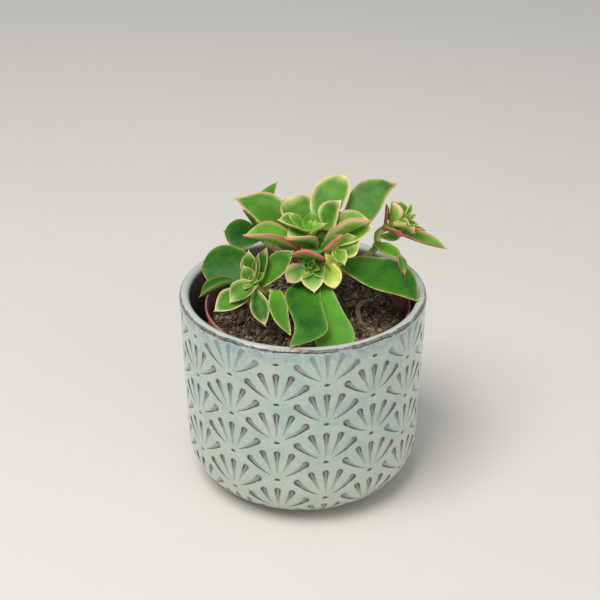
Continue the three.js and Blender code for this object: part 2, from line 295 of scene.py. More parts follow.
class Bench:
    """Lays shader nodes on one tree and joins them up."""

    def __init__(self, tree: bpy.types.NodeTree) -> None:
        """Starts on an empty tree."""
        self.tree = tree
        tree.nodes.clear()

    def node(self, kind: str, settings: dict[str, object] | None = None, **inputs: Socket) -> bpy.types.Node:
        """Adds one node.

        Args:
            kind: The node's type name, without its ShaderNode prefix.
            settings: Properties of the node, by name.
            **inputs: Values or sockets for its inputs; underscores stand for spaces.

        Returns:
            The node.
        """
        made = self.tree.nodes.new("ShaderNode" + kind)
        for key, value in (settings or {}).items():
            setattr(made, key, value)
        for key, value in inputs.items():
            self.feed(made.inputs[key.replace("_", " ")], value)
        return made

    def feed(self, target: bpy.types.NodeSocket, value: Socket) -> None:
        """Links a socket to an input, or sets the input's own value.

        Args:
            target: The input.
            value: A socket or a plain value.
        """
        if isinstance(value, bpy.types.NodeSocket):
            self.tree.links.new(value, target)
        else:
            target.default_value = value

    def math(self, operation: str, *values: Socket, clamp: bool = False) -> bpy.types.NodeSocket:
        """One step of arithmetic on plain numbers.

        Args:
            operation: The Math node's operation.
            *values: Its inputs.
            clamp: Whether to hold the result within 0 and 1.

        Returns:
            The result's socket.
        """
        made = self.node("Math", {"operation": operation, "use_clamp": clamp})
        for target, value in zip(made.inputs, values):
            self.feed(target, value)
        return made.outputs[0]

    def vector(self, operation: str, *values: Socket, result: str = "Vector") -> bpy.types.NodeSocket:
        """One step of arithmetic on vectors.

        Args:
            operation: The Vector Math node's operation.
            *values: Its inputs.
            result: Name of the output wanted.

        Returns:
            That output's socket.
        """
        made = self.node("VectorMath", {"operation": operation})
        for target, value in zip(made.inputs, values):
            self.feed(target, value)
        return made.outputs[result]

    def blend(self, share: Socket, first: Socket, second: Socket) -> bpy.types.NodeSocket:
        """A mix of two colours.

        Args:
            share: Share of the second, 0 to 1.
            first: The colour at 0.
            second: The colour at 1.

        Returns:
            The mixed colour's socket.
        """
        made = self.node("Mix", {"data_type": "RGBA"})
        self.feed(made.inputs[0], share)
        self.feed(made.inputs[6], first)
        self.feed(made.inputs[7], second)
        return made.outputs[2]

    def step(self, value: Socket, low: Socket, high: Socket) -> bpy.types.NodeSocket:
        """A smooth step of a value.

        Args:
            value: The value.
            low: Where the step is 0.
            high: Where the step is 1; it may be below low.

        Returns:
            The result's socket.
        """
        made = self.node("MapRange", {"interpolation_type": "SMOOTHSTEP"}, Value=value)
        self.feed(made.inputs["From Min"], low)
        self.feed(made.inputs["From Max"], high)
        return made.outputs[0]

    def noise(self, place: Socket, scale: float, detail: float = 2.0,
              rough: float = 0.5) -> bpy.types.NodeSocket:
        """Soft noise, 0 to 1, with features about 1/scale across."""
        made = self.node("TexNoise", {}, Vector=place, Scale=scale, Detail=detail, Roughness=rough)
        return made.outputs[0]

    def parts(self, value: Socket) -> tuple[bpy.types.NodeSocket, ...]:
        """The three numbers of a vector."""
        return tuple(self.node("SeparateXYZ", {}, Vector=value).outputs)

    def mark(self, name: str) -> bpy.types.NodeSocket:
        """A value that the mesh carries."""
        return self.node("Attribute", {"attribute_name": name}).outputs["Vector"]

    def place(self, kind: str = "Object") -> bpy.types.NodeSocket:
        """The object's own coordinates, or its UV map."""
        return self.node("TexCoord").outputs[kind]


class Group:
    """A shader node group with named inputs and outputs."""

    def __init__(self, name: str, inputs: dict[str, object], outputs: Sequence[str]) -> None:
        """Makes the group's sockets.

        Args:
            name: The group's name.
            inputs: Each input's name and default: a number, or a tuple of 3 or 4.
            outputs: Names of the outputs; Colour is a colour and the rest are numbers.
        """
        self.tree = bpy.data.node_groups.new(name, "ShaderNodeTree")
        self.bench = Bench(self.tree)
        for key, value in inputs.items():
            size = len(value) if isinstance(value, tuple) else 1
            kind = {1: "NodeSocketFloat", 3: "NodeSocketVector", 4: "NodeSocketColor"}[size]
            self.tree.interface.new_socket(key, in_out="INPUT", socket_type=kind).default_value = value
        for key in outputs:
            kind = "NodeSocketColor" if "Colour" in key else "NodeSocketFloat"
            self.tree.interface.new_socket(key, in_out="OUTPUT", socket_type=kind)
        self.given = self.tree.nodes.new("NodeGroupInput").outputs
        self.result = self.tree.nodes.new("NodeGroupOutput").inputs

    def give(self, **values: Socket) -> None:
        """Sends sockets out of the group."""
        for key, value in values.items():
            self.bench.feed(self.result[key.replace("_", " ")], value)

    def put(self, bench: Bench, **inputs: Socket) -> bpy.types.NodeOutputs:
        """Places the group in another tree and feeds it.

        Args:
            bench: Where to place it.
            **inputs: Values or sockets for its inputs.

        Returns:
            Its outputs.
        """
        made = bench.node("Group", {"node_tree": self.tree})
        for key, value in inputs.items():
            bench.feed(made.inputs[key.replace("_", " ")], value)
        return made.outputs


def cloud_group() -> Group:
    """Two sizes of soft noise: Broad patches, Fine grain, and Wander, their even mix.

    Returns:
        The group; its Size is the patches' width in metres.
    """
    group = Group("cloudiness", {"Place": (0.0, 0.0, 0.0), "Size": 0.01}, ("Broad", "Fine", "Wander"))
    b = group.bench
    scaled = b.node("VectorMath", {"operation": "SCALE"}, Vector=group.given["Place"])
    b.feed(scaled.inputs["Scale"], b.math("DIVIDE", 1.0, group.given["Size"]))
    broad = b.noise(scaled.outputs[0], 1.0, 2.0)
    fine = b.noise(scaled.outputs[0], 4.3, 3.0, 0.6)
    wander = b.math("MULTIPLY", b.math("ADD", broad, fine), 0.5)
    group.give(Broad=b.step(broad, 0.3, 0.7), Fine=b.step(fine, 0.3, 0.7), Wander=wander)
    return group


@dataclass(frozen=True)
class Finish:
    """What every finish shares.

    Attributes:
        name: The material's name.
    """

    name: str

    def start(self) -> tuple[bpy.types.Material, Bench, bpy.types.Node]:
        """Makes a material with a Principled shader joined to its output.

        Returns:
            The material, the bench for its nodes and the shader.
        """
        material = bpy.data.materials.new(self.name)
        material.use_nodes = True
        bench = Bench(material.node_tree)
        shader = bench.node("BsdfPrincipled")
        bench.node("OutputMaterial", {}, Surface=shader.outputs[0])
        return material, bench, shader

    @staticmethod
    def bump(bench: Bench, shader: bpy.types.Node, height: Socket, depth_mm: float,
             strength: float = 1.0) -> None:
        """Turns a height of 0 to 1 into a bump of so many millimetres."""
        made = bench.node("Bump", {}, Strength=strength, Distance=depth_mm * MM, Height=height)
        bench.feed(shader.inputs["Normal"], made.outputs[0])


# --- The cover pot ------------------------------------------------------------------------


@dataclass(frozen=True)
class Petal:
    """One pressed teardrop of a fan, seen flat: right and up from the fan's dot.

    Attributes:
        tip: Its pointed end.
        end: The middle of its round end.
        round_radius: Radius of the round end.
        bow: How far its middle line bulges to its lower side.
        low_side: True where the lower edge is the deep one.
    """

    tip: tuple[float, float]
    end: tuple[float, float]
    round_radius: float
    bow: float = 0.0
    low_side: bool = False


TIP_RADIUS = 0.15


def petal_inset(x: np.ndarray, y: np.ndarray, petal: Petal) -> tuple[np.ndarray, np.ndarray, np.ndarray]:
    """How far inside a petal points lie.

    With u the distance along the petal and v the distance to the side of its bowed middle
    line, the inset is the radius at u less the distance to the middle line.

    Args:
        x: Distance right of the fan's dot.
        y: Distance above it.
        petal: The petal, on the right side of its fan.

    Returns:
        The inset in millimetres, the share of the way along, and how low across it is.
    """
    tip, end = np.array(petal.tip), np.array(petal.end)
    length = np.linalg.norm(end - tip)
    along = (end - tip) / length
    u = (x - tip[0]) * along[0] + (y - tip[1]) * along[1]
    v = (x - tip[0]) * along[1] - (y - tip[1]) * along[0]
    held = np.clip(u, 0, length)
    v = v - petal.bow * np.sin(math.pi * held / length)
    radius = TIP_RADIUS + (petal.round_radius - TIP_RADIUS) * held / length
    return radius - np.hypot(u - held, v), u / length, v / radius


@dataclass(frozen=True)
class FanPrint:
    """The fans pressed round the cover pot, in columns that step by half a pitch.

    Attributes:
        columns: Columns round the pot.
        first_column: Where one column stands, in degrees from the front towards +X.
        top_dot: Height of that column's highest dot.
        pitch: Height between dots of one column.
        radius: The wall's radius that widths are measured on.
        petals: The right half of one fan, its middle petal first.
        dot: Half width and half height of the dot.
        depth: How deep a petal is pressed.
    """

    columns: int = 16
    first_column: float = -11.84
    top_dot: float = 100.9
    pitch: float = 23.25
    radius: float = 64.2
    petals: tuple[Petal, ...] = (
        Petal((0.0, 3.9), (0.0, 16.5), 1.5),
        Petal((3.1, 5.2), (7.6, 15.9), 1.45),
        Petal((4.0, 3.1), (14.7, 10.9), 1.65, bow=0.6, low_side=True),
    )
    dot: tuple[float, float] = (1.45, 0.75)
    depth: float = 0.9

    @property
    def column_width(self) -> float:
        """Distance between columns, round the wall."""
        return 2 * math.pi * self.radius / self.columns

    def depth_at(self, angle: np.ndarray, climb: np.ndarray) -> np.ndarray:
        """How deep the print is.

        The angle folds into one column's half width and the climb into one pitch, as the
        shader's version does; each petal is a bowl that deepens towards its round end.

        Args:
            angle: Degrees from the front towards +X.
            climb: Height up the wall, in millimetres.

        Returns:
            Depth in millimetres, never below 0.
        """
        share = (angle - self.first_column) * self.columns / 360
        column = np.round(share)
        aside = np.abs(share - column) * self.column_width
        odd = np.mod(column, 2)
        depth = np.zeros_like(climb)
        for neighbour in (0, 1):
            x = aside if neighbour == 0 else self.column_width - aside
            shift = 0.5 * (np.mod(odd + neighbour, 2))
            y = np.mod(climb - self.top_dot + self.pitch * shift + 2, self.pitch) - 2
            for petal in self.petals if neighbour == 0 else self.petals[2:]:
                inset, along, low = petal_inset(x, y, petal)
                bowl = ease(inset, -0.15, 1.2) * (0.25 + 0.75 * np.clip(along, 0, 1))
                if petal.low_side:
                    bowl = bowl * (0.45 + 0.55 * ease(low, -0.8, 0.5))
                depth = np.maximum(depth, bowl * self.depth)
            if neighbour == 0:
                oval = 1 - np.hypot(x / self.dot[0], y / self.dot[1])
                depth = np.maximum(depth, ease(oval, -0.3, 0.6) * self.depth)
        return depth

    def petal_group(self) -> Group:
        """The shader's version of petal_inset: Pool where glaze gathers, Line where it breaks.

        Returns:
            The group; its lengths are in millimetres.
        """
        inputs = {
            "Place": (0.0, 0.0, 0.0),
            "Tip": (0.0, 0.0, 0.0),
            "Along": (0.0, 1.0, 0.0),
            "Across": (1.0, 0.0, 0.0),
            "Length": 10.0,
            "Round Radius": 1.7,
            "Bow": 0.0,
            "Low Side": 0.0,
        }
        group = Group("pressed_petal", inputs, ("Pool", "Line", "Press"))
        b, given = group.bench, group.given
        away = b.vector("SUBTRACT", given["Place"], given["Tip"])
        u = b.vector("DOT_PRODUCT", away, given["Along"], result="Value")
        v = b.vector("DOT_PRODUCT", away, given["Across"], result="Value")
        share = b.math("DIVIDE", u, given["Length"])
        held = b.math("ADD", share, 0.0, clamp=True)
        over = b.math("MULTIPLY", b.math("SUBTRACT", share, held), given["Length"])
        bulge = b.math("MULTIPLY", b.math("SINE", b.math("MULTIPLY", held, math.pi)), given["Bow"])
        v = b.math("SUBTRACT", v, bulge)
        wide = b.math("MULTIPLY_ADD", b.math("SUBTRACT", given["Round Radius"], TIP_RADIUS), held, TIP_RADIUS)
        reach = b.vector("LENGTH", b.node("CombineXYZ", {}, X=over, Y=v).outputs[0], result="Value")
        inset = b.math("SUBTRACT", wide, reach)
        low = b.math("DIVIDE", v, wide)
        round_end = b.step(share, 0.45, 1.0)
        low_edge = b.math("MAXIMUM", b.step(low, -0.35, 0.45), b.step(share, 0.84, 1.04))
        plain = b.math("MULTIPLY_ADD", round_end, 0.68, 0.32)
        upper = b.math("SUBTRACT", 1.0, given["Low Side"])
        bias = b.math("ADD", b.math("MULTIPLY", plain, upper),
                      b.math("MULTIPLY", low_edge, given["Low Side"]))
        ring = b.math("ABSOLUTE", b.math("SUBTRACT", inset, 0.28))
        hood = b.math("MULTIPLY_ADD", b.step(share, 0.8, 1.1), 0.45, 0.62)
        line = b.math("MULTIPLY", b.step(ring, hood, 0.12), bias)
        inside = b.step(inset, -0.1, 0.8)
        shallow = b.math("MULTIPLY", given["Low Side"], b.step(low, 0.2, -0.9))
        pool = b.math("MULTIPLY", b.math("MULTIPLY", inside, b.step(share, -0.1, 0.9)),
                      b.math("SUBTRACT", 1.0, b.math("MULTIPLY", shallow, 0.75)))
        group.give(Pool=pool, Line=line, Press=inside)
        return group

    def group(self) -> Group:
        """The whole print as masks: Pool, Line, Dot and Press, from place and climb.

        Returns:
            The group; its Climb is in millimetres.
        """
        group = Group("fan_print", {"Place": (0.0, 0.0, 0.0), "Climb": 0.0}, ("Pool", "Line", "Dot", "Press"))
        petal = self.petal_group()
        b = group.bench
        x, y, _ = b.parts(group.given["Place"])
        angle = b.math("ARCTAN2", x, b.math("MULTIPLY", y, -1.0))
        turns = self.columns / (2 * math.pi)
        share = b.math("MULTIPLY_ADD", angle, turns, -self.first_column * self.columns / 360)
        column = b.math("ROUND", share)
        aside = b.math("MULTIPLY", b.math("ABSOLUTE", b.math("SUBTRACT", share, column)), self.column_width)
        odd = b.math("FLOORED_MODULO", column, 2.0)
        pools, lines, presses, dots = [], [], [], []
        for neighbour in (0, 1):
            across = aside if neighbour == 0 else b.math("SUBTRACT", self.column_width, aside)
            parity = odd if neighbour == 0 else b.math("SUBTRACT", 1.0, odd)
            lifted = b.math("MULTIPLY_ADD", parity, 0.5 * self.pitch, group.given["Climb"])
            row = b.math("FLOORED_MODULO", b.math("ADD", lifted, 2.0 - self.top_dot), self.pitch)
            up = b.math("SUBTRACT", row, 2.0)
            spot = b.node("CombineXYZ", {}, X=across, Y=up).outputs[0]
            for shape in self.petals if neighbour == 0 else self.petals[2:]:
                tip, end = np.array(shape.tip), np.array(shape.end)
                length = float(np.linalg.norm(end - tip))
                along = ((end - tip) / length).tolist()
                made = petal.put(b, Place=spot, Tip=(*shape.tip, 0.0), Along=(*along, 0.0),
                                 Across=(along[1], -along[0], 0.0), Length=length,
                                 Round_Radius=shape.round_radius, Bow=shape.bow,
                                 Low_Side=float(shape.low_side))
                pools.append(made["Pool"])
                lines.append(made["Line"])
                presses.append(made["Press"])
            if neighbour == 0:
                oval = b.node("CombineXYZ", {}, X=b.math("DIVIDE", across, self.dot[0]),
                              Y=b.math("DIVIDE", up, self.dot[1])).outputs[0]
                dots.append(b.step(b.vector("LENGTH", oval, result="Value"), 1.25, 0.7))
        total = {}
        for key, found in (("Pool", pools), ("Line", lines), ("Press", presses + dots), ("Dot", dots)):
            most = found[0]
            for other in found[1:]:
                most = b.math("MAXIMUM", most, other)
            total[key] = most
        group.give(**total)
        return group


@dataclass(frozen=True)
class GlazeFinish(Finish):
    """Grey-green reactive glaze that pools lavender in the print and breaks brown on edges; the inner wall
    gets painted shade.
    """

    celadon: tuple = tint(180, 199, 184)
    cream: tuple = tint(196, 206, 184)
    sea: tuple = tint(154, 186, 180)
    lavender: tuple = tint(128, 134, 150)
    rim_blue: tuple = tint(136, 158, 178)
    blush: tuple = tint(206, 190, 182)
    lip_grey: tuple = tint(186, 194, 186)
    brown: tuple = tint(64, 56, 46)
    sand: tuple = tint(190, 194, 174)
    umber: tuple = tint(114, 98, 78)
    rust: tuple = tint(130, 98, 78)
    # Painted shade: dark colour for the inner wall below the lip, standing in for the shadow inside the pot.
    shade: tuple = tint(66, 70, 61)
    clay: tuple = tint(180, 164, 140)

    def build(self, cloud: Group, fans: FanPrint, heights: dict[str, float]) -> bpy.types.Material:
        """Makes the glaze.

        Args:
            cloud: The shared noise group.
            fans: The print that the glaze lies over.
            heights: Climb values of the wall's top, the rim line, the lip's end and the bare foot.

        Returns:
            The material.
        """
        material, b, shader = self.start()
        place = b.place()
        climb, _, _ = b.parts(b.mark("glaze"))
        soft = cloud.put(b, Place=place, Size=0.013)
        small = cloud.put(b, Place=place, Size=0.0022)
        printed = fans.group().put(b, Place=place, Climb=climb)

        mottle = cloud.put(b, Place=b.vector("ADD", place, (0.31, 0.17, 0.05)), Size=0.0055)
        ground = b.blend(b.math("MULTIPLY", b.step(soft["Broad"], 0.35, 0.65), 0.5), self.celadon, self.sea)
        ground = b.blend(b.math("MULTIPLY", b.step(mottle["Broad"], 0.42, 0.66), 0.34), ground, self.cream)
        ground = b.blend(b.math("MULTIPLY", b.step(mottle["Fine"], 0.58, 0.78), 0.2), ground, self.rim_blue)
        ground = b.blend(b.math("MULTIPLY", b.step(small["Fine"], 0.6, 0.85), 0.25), ground, self.blush)
        warm = b.math("MULTIPLY", b.step(climb, 70.0, 0.0), 0.5)
        ground = b.blend(warm, ground, self.sand)
        near_rim = b.step(b.math("MULTIPLY_ADD", soft["Fine"], 7.0, climb), heights["wall_top"] - 9,
                          heights["wall_top"] + 4)
        drips = b.math("MULTIPLY", b.step(small["Broad"], 0.45, 0.62),
                       b.step(climb, heights["wall_top"] - 7, heights["wall_top"] - 1))
        ground = b.blend(b.math("MULTIPLY", near_rim, b.math("MULTIPLY_ADD", drips, 0.55, 0.15)), ground,
                         self.rim_blue)
        pool_tone = b.blend(near_rim, self.lavender, self.rim_blue)
        outside = b.step(climb, heights["rim_line"] + 1, heights["rim_line"] - 1)
        pooled = b.math("MULTIPLY", printed["Pool"], b.math("MULTIPLY_ADD", small["Fine"], 0.5, 0.6))
        pooled = b.math("MULTIPLY", pooled, outside, clamp=True)
        ground = b.blend(pooled, ground, pool_tone)

        break_tone = b.blend(b.math("MULTIPLY", b.math("MULTIPLY", soft["Fine"], small["Broad"]), 0.9),
                             self.brown, self.umber)
        fade = b.step(climb, heights["wall_top"] + 1, heights["wall_top"] - 14)
        line = b.math("MULTIPLY", printed["Line"], b.math("MULTIPLY_ADD", fade, 0.97, 0.03))
        line = b.math("MULTIPLY", line, b.math("MULTIPLY_ADD", small["Broad"], 0.6, 0.72), clamp=True)
        line = b.math("MULTIPLY", line, outside)
        ground = b.blend(line, ground, break_tone)
        ground = b.blend(b.math("MULTIPLY", printed["Dot"], 0.95), ground, self.brown)

        lip = b.step(climb, heights["rim_line"], heights["rim_line"] + 1.2)
        ground = b.blend(lip, ground, self.lip_grey)
        rim_tone = b.blend(b.step(soft["Fine"], 0.42, 0.85), self.rust, self.brown)
        drift = b.math("MULTIPLY_ADD", soft["Broad"], 1.0, heights["rim_line"] - 0.6)
        edge = b.math("ABSOLUTE", b.math("SUBTRACT", climb, drift))
        width = b.math("MULTIPLY_ADD", mottle["Broad"], 0.8, 0.6)
        ground = b.blend(b.math("MULTIPLY", b.step(edge, width, b.math("MULTIPLY", width, 0.5)), 0.85),
                         ground, rim_tone)
        crisp = b.math("ABSOLUTE", b.math("SUBTRACT", climb, b.math("SUBTRACT", drift, 1.0)))
        ground = b.blend(b.math("MULTIPLY", b.step(crisp, 0.55, 0.15), b.step(soft["Broad"], 0.2, 0.5)),
                         ground, self.brown)
        # Painted shade: past the lip's end the inner wall is blended towards the dark shade colour.
        inner = b.step(climb, heights["lip_end"] - 1.5, heights["lip_end"] + 1)
        painted_shade_share = b.math("MULTIPLY_ADD", b.step(small["Fine"], 0.75, 0.95), 0.1, 0.86)
        ground = b.blend(b.math("MULTIPLY", inner, painted_shade_share), ground, self.shade)
        foot = b.step(climb, heights["foot"], heights["foot"] - 1.5)
        ground = b.blend(foot, ground, self.clay)
        b.feed(shader.inputs["Base Color"], ground)

        dull = b.math("ADD", b.math("MULTIPLY", line, 0.2), b.math("MULTIPLY", foot, 0.5))
        dull = b.math("MULTIPLY_ADD", lip, 0.14, dull)
        b.feed(shader.inputs["Roughness"],
               b.math("MULTIPLY_ADD", small["Wander"], 0.2, b.math("ADD", dull, 0.12)))
        height = b.math("SUBTRACT", b.math("MULTIPLY", soft["Wander"], 0.25),
                        b.math("MULTIPLY", b.math("MULTIPLY", printed["Press"], outside), 0.55))
        height = b.math("MULTIPLY_ADD", small["Wander"], 0.08, height)
        self.bump(b, shader, height, 0.7, 0.8)
        shader.inputs["Coat Weight"].default_value = 0.55
        shader.inputs["Coat Roughness"].default_value = 0.12
        shader.inputs["Specular IOR Level"].default_value = 0.5
        return material


@dataclass
class CoverPot:
    """The ceramic pot: a straight wall on a well rounded base corner, with a rounded lip.

    Attributes:
        wall: Thickness of its wall.
        foot_inset: How far its wall leans in by the base.
        corner: Radius of the outer base corner.
        floor: Height of its inner floor.
        inner_corner: Radius of the inner base corner.
        around: Corners round the pot.
        rim_line: How far past the wall's top the brown line runs.
        bare_foot: Climb below which the base has no glaze.
        fans: The print on its wall.
    """

    wall: float = 5.4
    foot_inset: float = 1.6
    corner: float = 25.0
    floor: float = 7.0
    inner_corner: float = 16.0
    around: int = 528
    rim_line: float = 2.1
    bare_foot: float = -12.0
    fans: FanPrint = FanPrint()

    def __post_init__(self) -> None:
        """Takes its height and radius from the solid."""
        low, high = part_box("cover_pot")
        self.radius = (high.x - low.x) / 2 / MM
        self.height = high.z / MM
        self.lip = self.wall / 2

    def profile(self) -> tuple[np.ndarray, np.ndarray]:
        """The outline from the middle of the base, up, over the lip and down inside.

        Returns:
            Radius and height of each corner, and its climb: the height up the wall, carried
            on as a length along the outline round the base corner, the lip and inside.
        """
        foot = self.radius - self.foot_inset
        bend = np.linspace(-90, 0, 46)[1:]
        corner = np.stack([foot - self.corner + self.corner * np.cos(np.radians(bend)),
                           self.corner + self.corner * np.sin(np.radians(bend))], -1)
        base = np.array([[foot - self.corner - 8, 0.0], [foot - self.corner - 0.6, 0.0]])
        steps = np.linspace(0, 1, 104)[1:, None]
        lip_height = self.height - self.lip
        rise = corner[-1] + (np.array([self.radius, lip_height]) - corner[-1]) * steps
        turn = np.radians(np.linspace(0, 180, 15)[1:])
        lip = np.stack([self.radius - self.lip + self.lip * np.cos(turn),
                        lip_height + self.lip * np.sin(turn)], -1)
        inner_foot = foot - self.wall
        drop = lip[-1] + (np.array([inner_foot, self.floor + self.inner_corner]) - lip[-1]) * np.linspace(0,
            1, 14)[1:, None]
        inner = np.radians(np.linspace(0, -90, 9)[1:])
        cove = np.stack([inner_foot - self.inner_corner + self.inner_corner * np.cos(inner),
                         self.floor + self.inner_corner + self.inner_corner * np.sin(inner)], -1)
        line = np.concatenate([base, corner, rise, lip, drop, cove])
        run = np.concatenate([[0], np.cumsum(np.linalg.norm(np.diff(line, axis=0), axis=1))])
        middle = len(base) + len(corner) - 1
        return line, run - run[middle] + self.corner

    def build(self, material: bpy.types.Material) -> None:
        """Turns the outline about Z, presses the fans into it and lets the wall sway a little.

        Args:
            material: The glaze.
        """
        line, climb = self.profile()
        angle = np.radians(np.linspace(-180, 180, self.around, endpoint=False))
        slope = unit(np.gradient(line, axis=0))
        outward = np.stack([slope[:, 1], -slope[:, 0]], -1)
        grid_angle, grid_climb = np.meshgrid(np.degrees(angle), climb)
        top = self.height - self.lip
        shown = ease(grid_climb, 0.5, 4) * ease(grid_climb, top + 2.2, top - 5)
        press = self.fans.depth_at(grid_angle, grid_climb) * shown
        sway = 0.12 * np.sin(3 * np.radians(grid_angle) + grid_climb / 17) * ease(grid_climb, 4,
            12) * ease(grid_climb, top, top - 8)
        radius = line[:, None, 0] - (press + np.abs(sway)) * outward[:, None, 0]
        height = line[:, None, 1] - press * outward[:, None, 1]
        rings = np.stack([radius * np.sin(angle), -radius * np.cos(angle), height], -1)
        ends = np.array([[0, 0, 0.0], [0, 0, self.floor]])
        uv = np.stack([grid_angle / 360, grid_climb / 100], -1)
        marks = {"glaze": np.stack([grid_climb, grid_climb * 0, grid_climb * 0], -1)}
        end_climb = np.array([[climb[0] - line[0, 0], 0, 0], [climb[-1] + line[-1, 0], 0, 0]])
        skin = Skin.tube(rings, ends, uv, np.array([[0, -0.3], [0, 3.0]]), marks, {"glaze": end_climb},
                         turned_in=True)
        skin.piece("cover_pot_glazed", Slot.GLAZE, material, "cover_pot")

    def heights(self) -> dict[str, float]:
        """Climb values where the glaze changes."""
        top = self.height - self.lip
        lip_end = top + math.pi * self.lip
        return {"wall_top": top, "rim_line": top + self.rim_line, "lip_end": lip_end, "foot": self.bare_foot}


# --- The nursery pot ----------------------------------------------------------------------


@dataclass(frozen=True)
class PlasticFinish(Finish):
    """Satin terracotta-coloured plastic: dusty patches outside; inside, soil stains and a darker colour
    painted as shade.
    """

    body: tuple = tint(204, 126, 118)
    # Painted shade: a darker copy of the body colour for the inside, standing in for the shadow within the
    # pot.
    inside: tuple = tint(118, 56, 48)
    dust: tuple = tint(200, 152, 138)
    soil: tuple = tint(52, 34, 26)

    def build(self, cloud: Group) -> bpy.types.Material:
        """Makes the plastic.

        Args:
            cloud: The shared noise group.

        Returns:
            The material.
        """
        material, b, shader = self.start()
        place = b.place()
        within, _, _ = b.parts(b.mark("inside"))
        soft = cloud.put(b, Place=place, Size=0.012)
        fine = cloud.put(b, Place=place, Size=0.0009)
        # Painted shade: the inner surface takes the darker inside colour.
        tone = b.blend(within, self.body, self.inside)
        tone = b.blend(b.math("MULTIPLY", soft["Broad"], 0.25), tone, self.dust)
        soiled = b.math("MULTIPLY", b.step(fine["Fine"], 0.55, 0.9), b.math("MULTIPLY", within, 0.35))
        tone = b.blend(soiled, tone, self.soil)
        b.feed(shader.inputs["Base Color"], tone)
        b.feed(shader.inputs["Roughness"], b.math("MULTIPLY_ADD", soft["Wander"], 0.25, 0.3))
        self.bump(b, shader, b.math("ADD", fine["Wander"], soft["Wander"]), 0.05, 0.5)
        return material


@dataclass
class NurseryPot:
    """The thin plastic pot that the plant grows in, with a rolled rim and a stacking step.

    Its base is closed: the drain holes, which nothing shows, are left to the solid.
    """

    wall: float = 1.1
    collar_drop: float = 10.8
    step: float = 2.9
    around: int = 160

    def __post_init__(self) -> None:
        """Takes its place and size from the solid."""
        low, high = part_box("nursery_pot")
        self.centre = (low.x + high.x) / 2 / MM
        self.rim = (high.x - low.x) / 2 / MM
        self.top = high.z / MM
        self.base = low.z / MM

    def build(self, material: bpy.types.Material) -> None:
        """Turns the outline about its own upright axis.

        Args:
            material: The plastic.
        """
        r, top, base = self.rim, self.top, self.base
        body, foot, w = r - 4.1, r - 16.8, self.wall
        outer = [[0.0, base + 1.2], [foot - 9, base + 1.2], [foot - 7, base], [foot - 0.8, base],
                 [foot, base + 0.8],
                 [(body * 2 + foot) / 3, top * 0.62], [body, top - self.collar_drop - 0.4],
                 [r - 1.2, top - self.collar_drop + 0.2], [r - 1.1, top - 3.2], [r - 0.1, top - 2.5],
                 [r, top - 1.4], [r - 0.05, top - 0.45], [r - 0.4, top]]
        inner = [[r - 0.9, top - 0.05], [r - 1.25, top - 0.6], [r - 1.3, top - 3.0],
                 [r - 1.2 - w, top - self.collar_drop + 0.9],
                 [body - w, top - self.collar_drop - 0.2], [(body * 2 + foot) / 3 - w, top * 0.62],
                 [foot - w - 0.5, base + 2.4], [foot - 8, base + 2.3], [0.0, base + 2.3]]
        line = np.array(outer + inner)
        smooth = np.concatenate([np.linspace(line[i], line[i + 1], 5, endpoint=False)
                                 for i in range(len(line) - 1)])[1:]
        angle = np.linspace(0, 2 * math.pi, self.around, endpoint=False)
        rings = np.stack([self.centre + smooth[:, None, 0] * np.cos(angle),
                          smooth[:, None, 0] * np.sin(angle),
                          smooth[:, None, 1] + 0 * angle], -1)
        within = (np.arange(len(smooth)) >= 5 * (len(outer) - 1) + 1).astype(float)
        turn, height = np.meshgrid(angle / (2 * math.pi), smooth[:, 1])
        marks = {"inside": np.stack([within[:, None] + 0 * turn, 0 * turn, 0 * turn], -1)}
        ends = np.array([[self.centre, 0, base + 1.2], [self.centre, 0, base + 2.3]])
        end_marks = {"inside": np.array([[0.0, 0, 0], [1.0, 0, 0]])}
        uv = np.stack([turn, height / 100], -1)
        skin = Skin.tube(rings, ends, uv, np.array([[0.5, 0], [0.5, 0]]), marks, end_marks)
        skin.quads, skin.tris = skin.quads[:, ::-1], skin.tris[:, ::-1]
        skin.piece("nursery_pot_moulded", Slot.PLASTIC, material, "nursery_pot")


# --- The soil and the root ----------------------------------------------------------------


@dataclass(frozen=True)
class SoilFinish(Finish):
    """Damp fibrous peat with patches of painted shade; each crumb carries its own lightness."""

    peat: tuple = tint(37, 29, 22)
    crumb: tuple = tint(190, 158, 126)
    straw: tuple = tint(188, 160, 122)
    bead: tuple = tint(222, 218, 208)

    def build(self, cloud: Group) -> bpy.types.Material:
        """Makes the soil.

        Args:
            cloud: The shared noise group.

        Returns:
            The material.
        """
        material, b, shader = self.start()
        place = b.place()
        light, straw, bead = b.parts(b.mark("crumb"))
        grain = cloud.put(b, Place=place, Size=0.0016)
        patch = cloud.put(b, Place=place, Size=0.012)
        share = b.math("ADD", b.math("MULTIPLY", grain["Fine"], 0.4), b.math("MULTIPLY", patch["Broad"], 0.2))
        tone = b.blend(b.math("MULTIPLY_ADD", light, 0.8, b.math("SUBTRACT", share, 0.2), clamp=True),
                       self.peat, self.crumb)
        # Painted shade: darker patches at random spots, standing in for the shade on the soil under the
        # leaves.
        painted_shade_patches = b.math("MULTIPLY", b.step(patch["Fine"], 0.5, 0.75), 0.65)
        tone = b.blend(painted_shade_patches, tone, self.peat)
        tone = b.blend(b.math("MULTIPLY", straw, b.math("MULTIPLY_ADD", grain["Fine"], 0.4, 0.6)), tone,
                       self.straw)
        tone = b.blend(bead, tone, self.bead)
        b.feed(shader.inputs["Base Color"], tone)
        b.feed(shader.inputs["Roughness"], b.math("MULTIPLY_ADD", grain["Broad"], -0.25, 0.92))
        self.bump(b, shader, grain["Wander"], 0.6, 0.8)
        return material


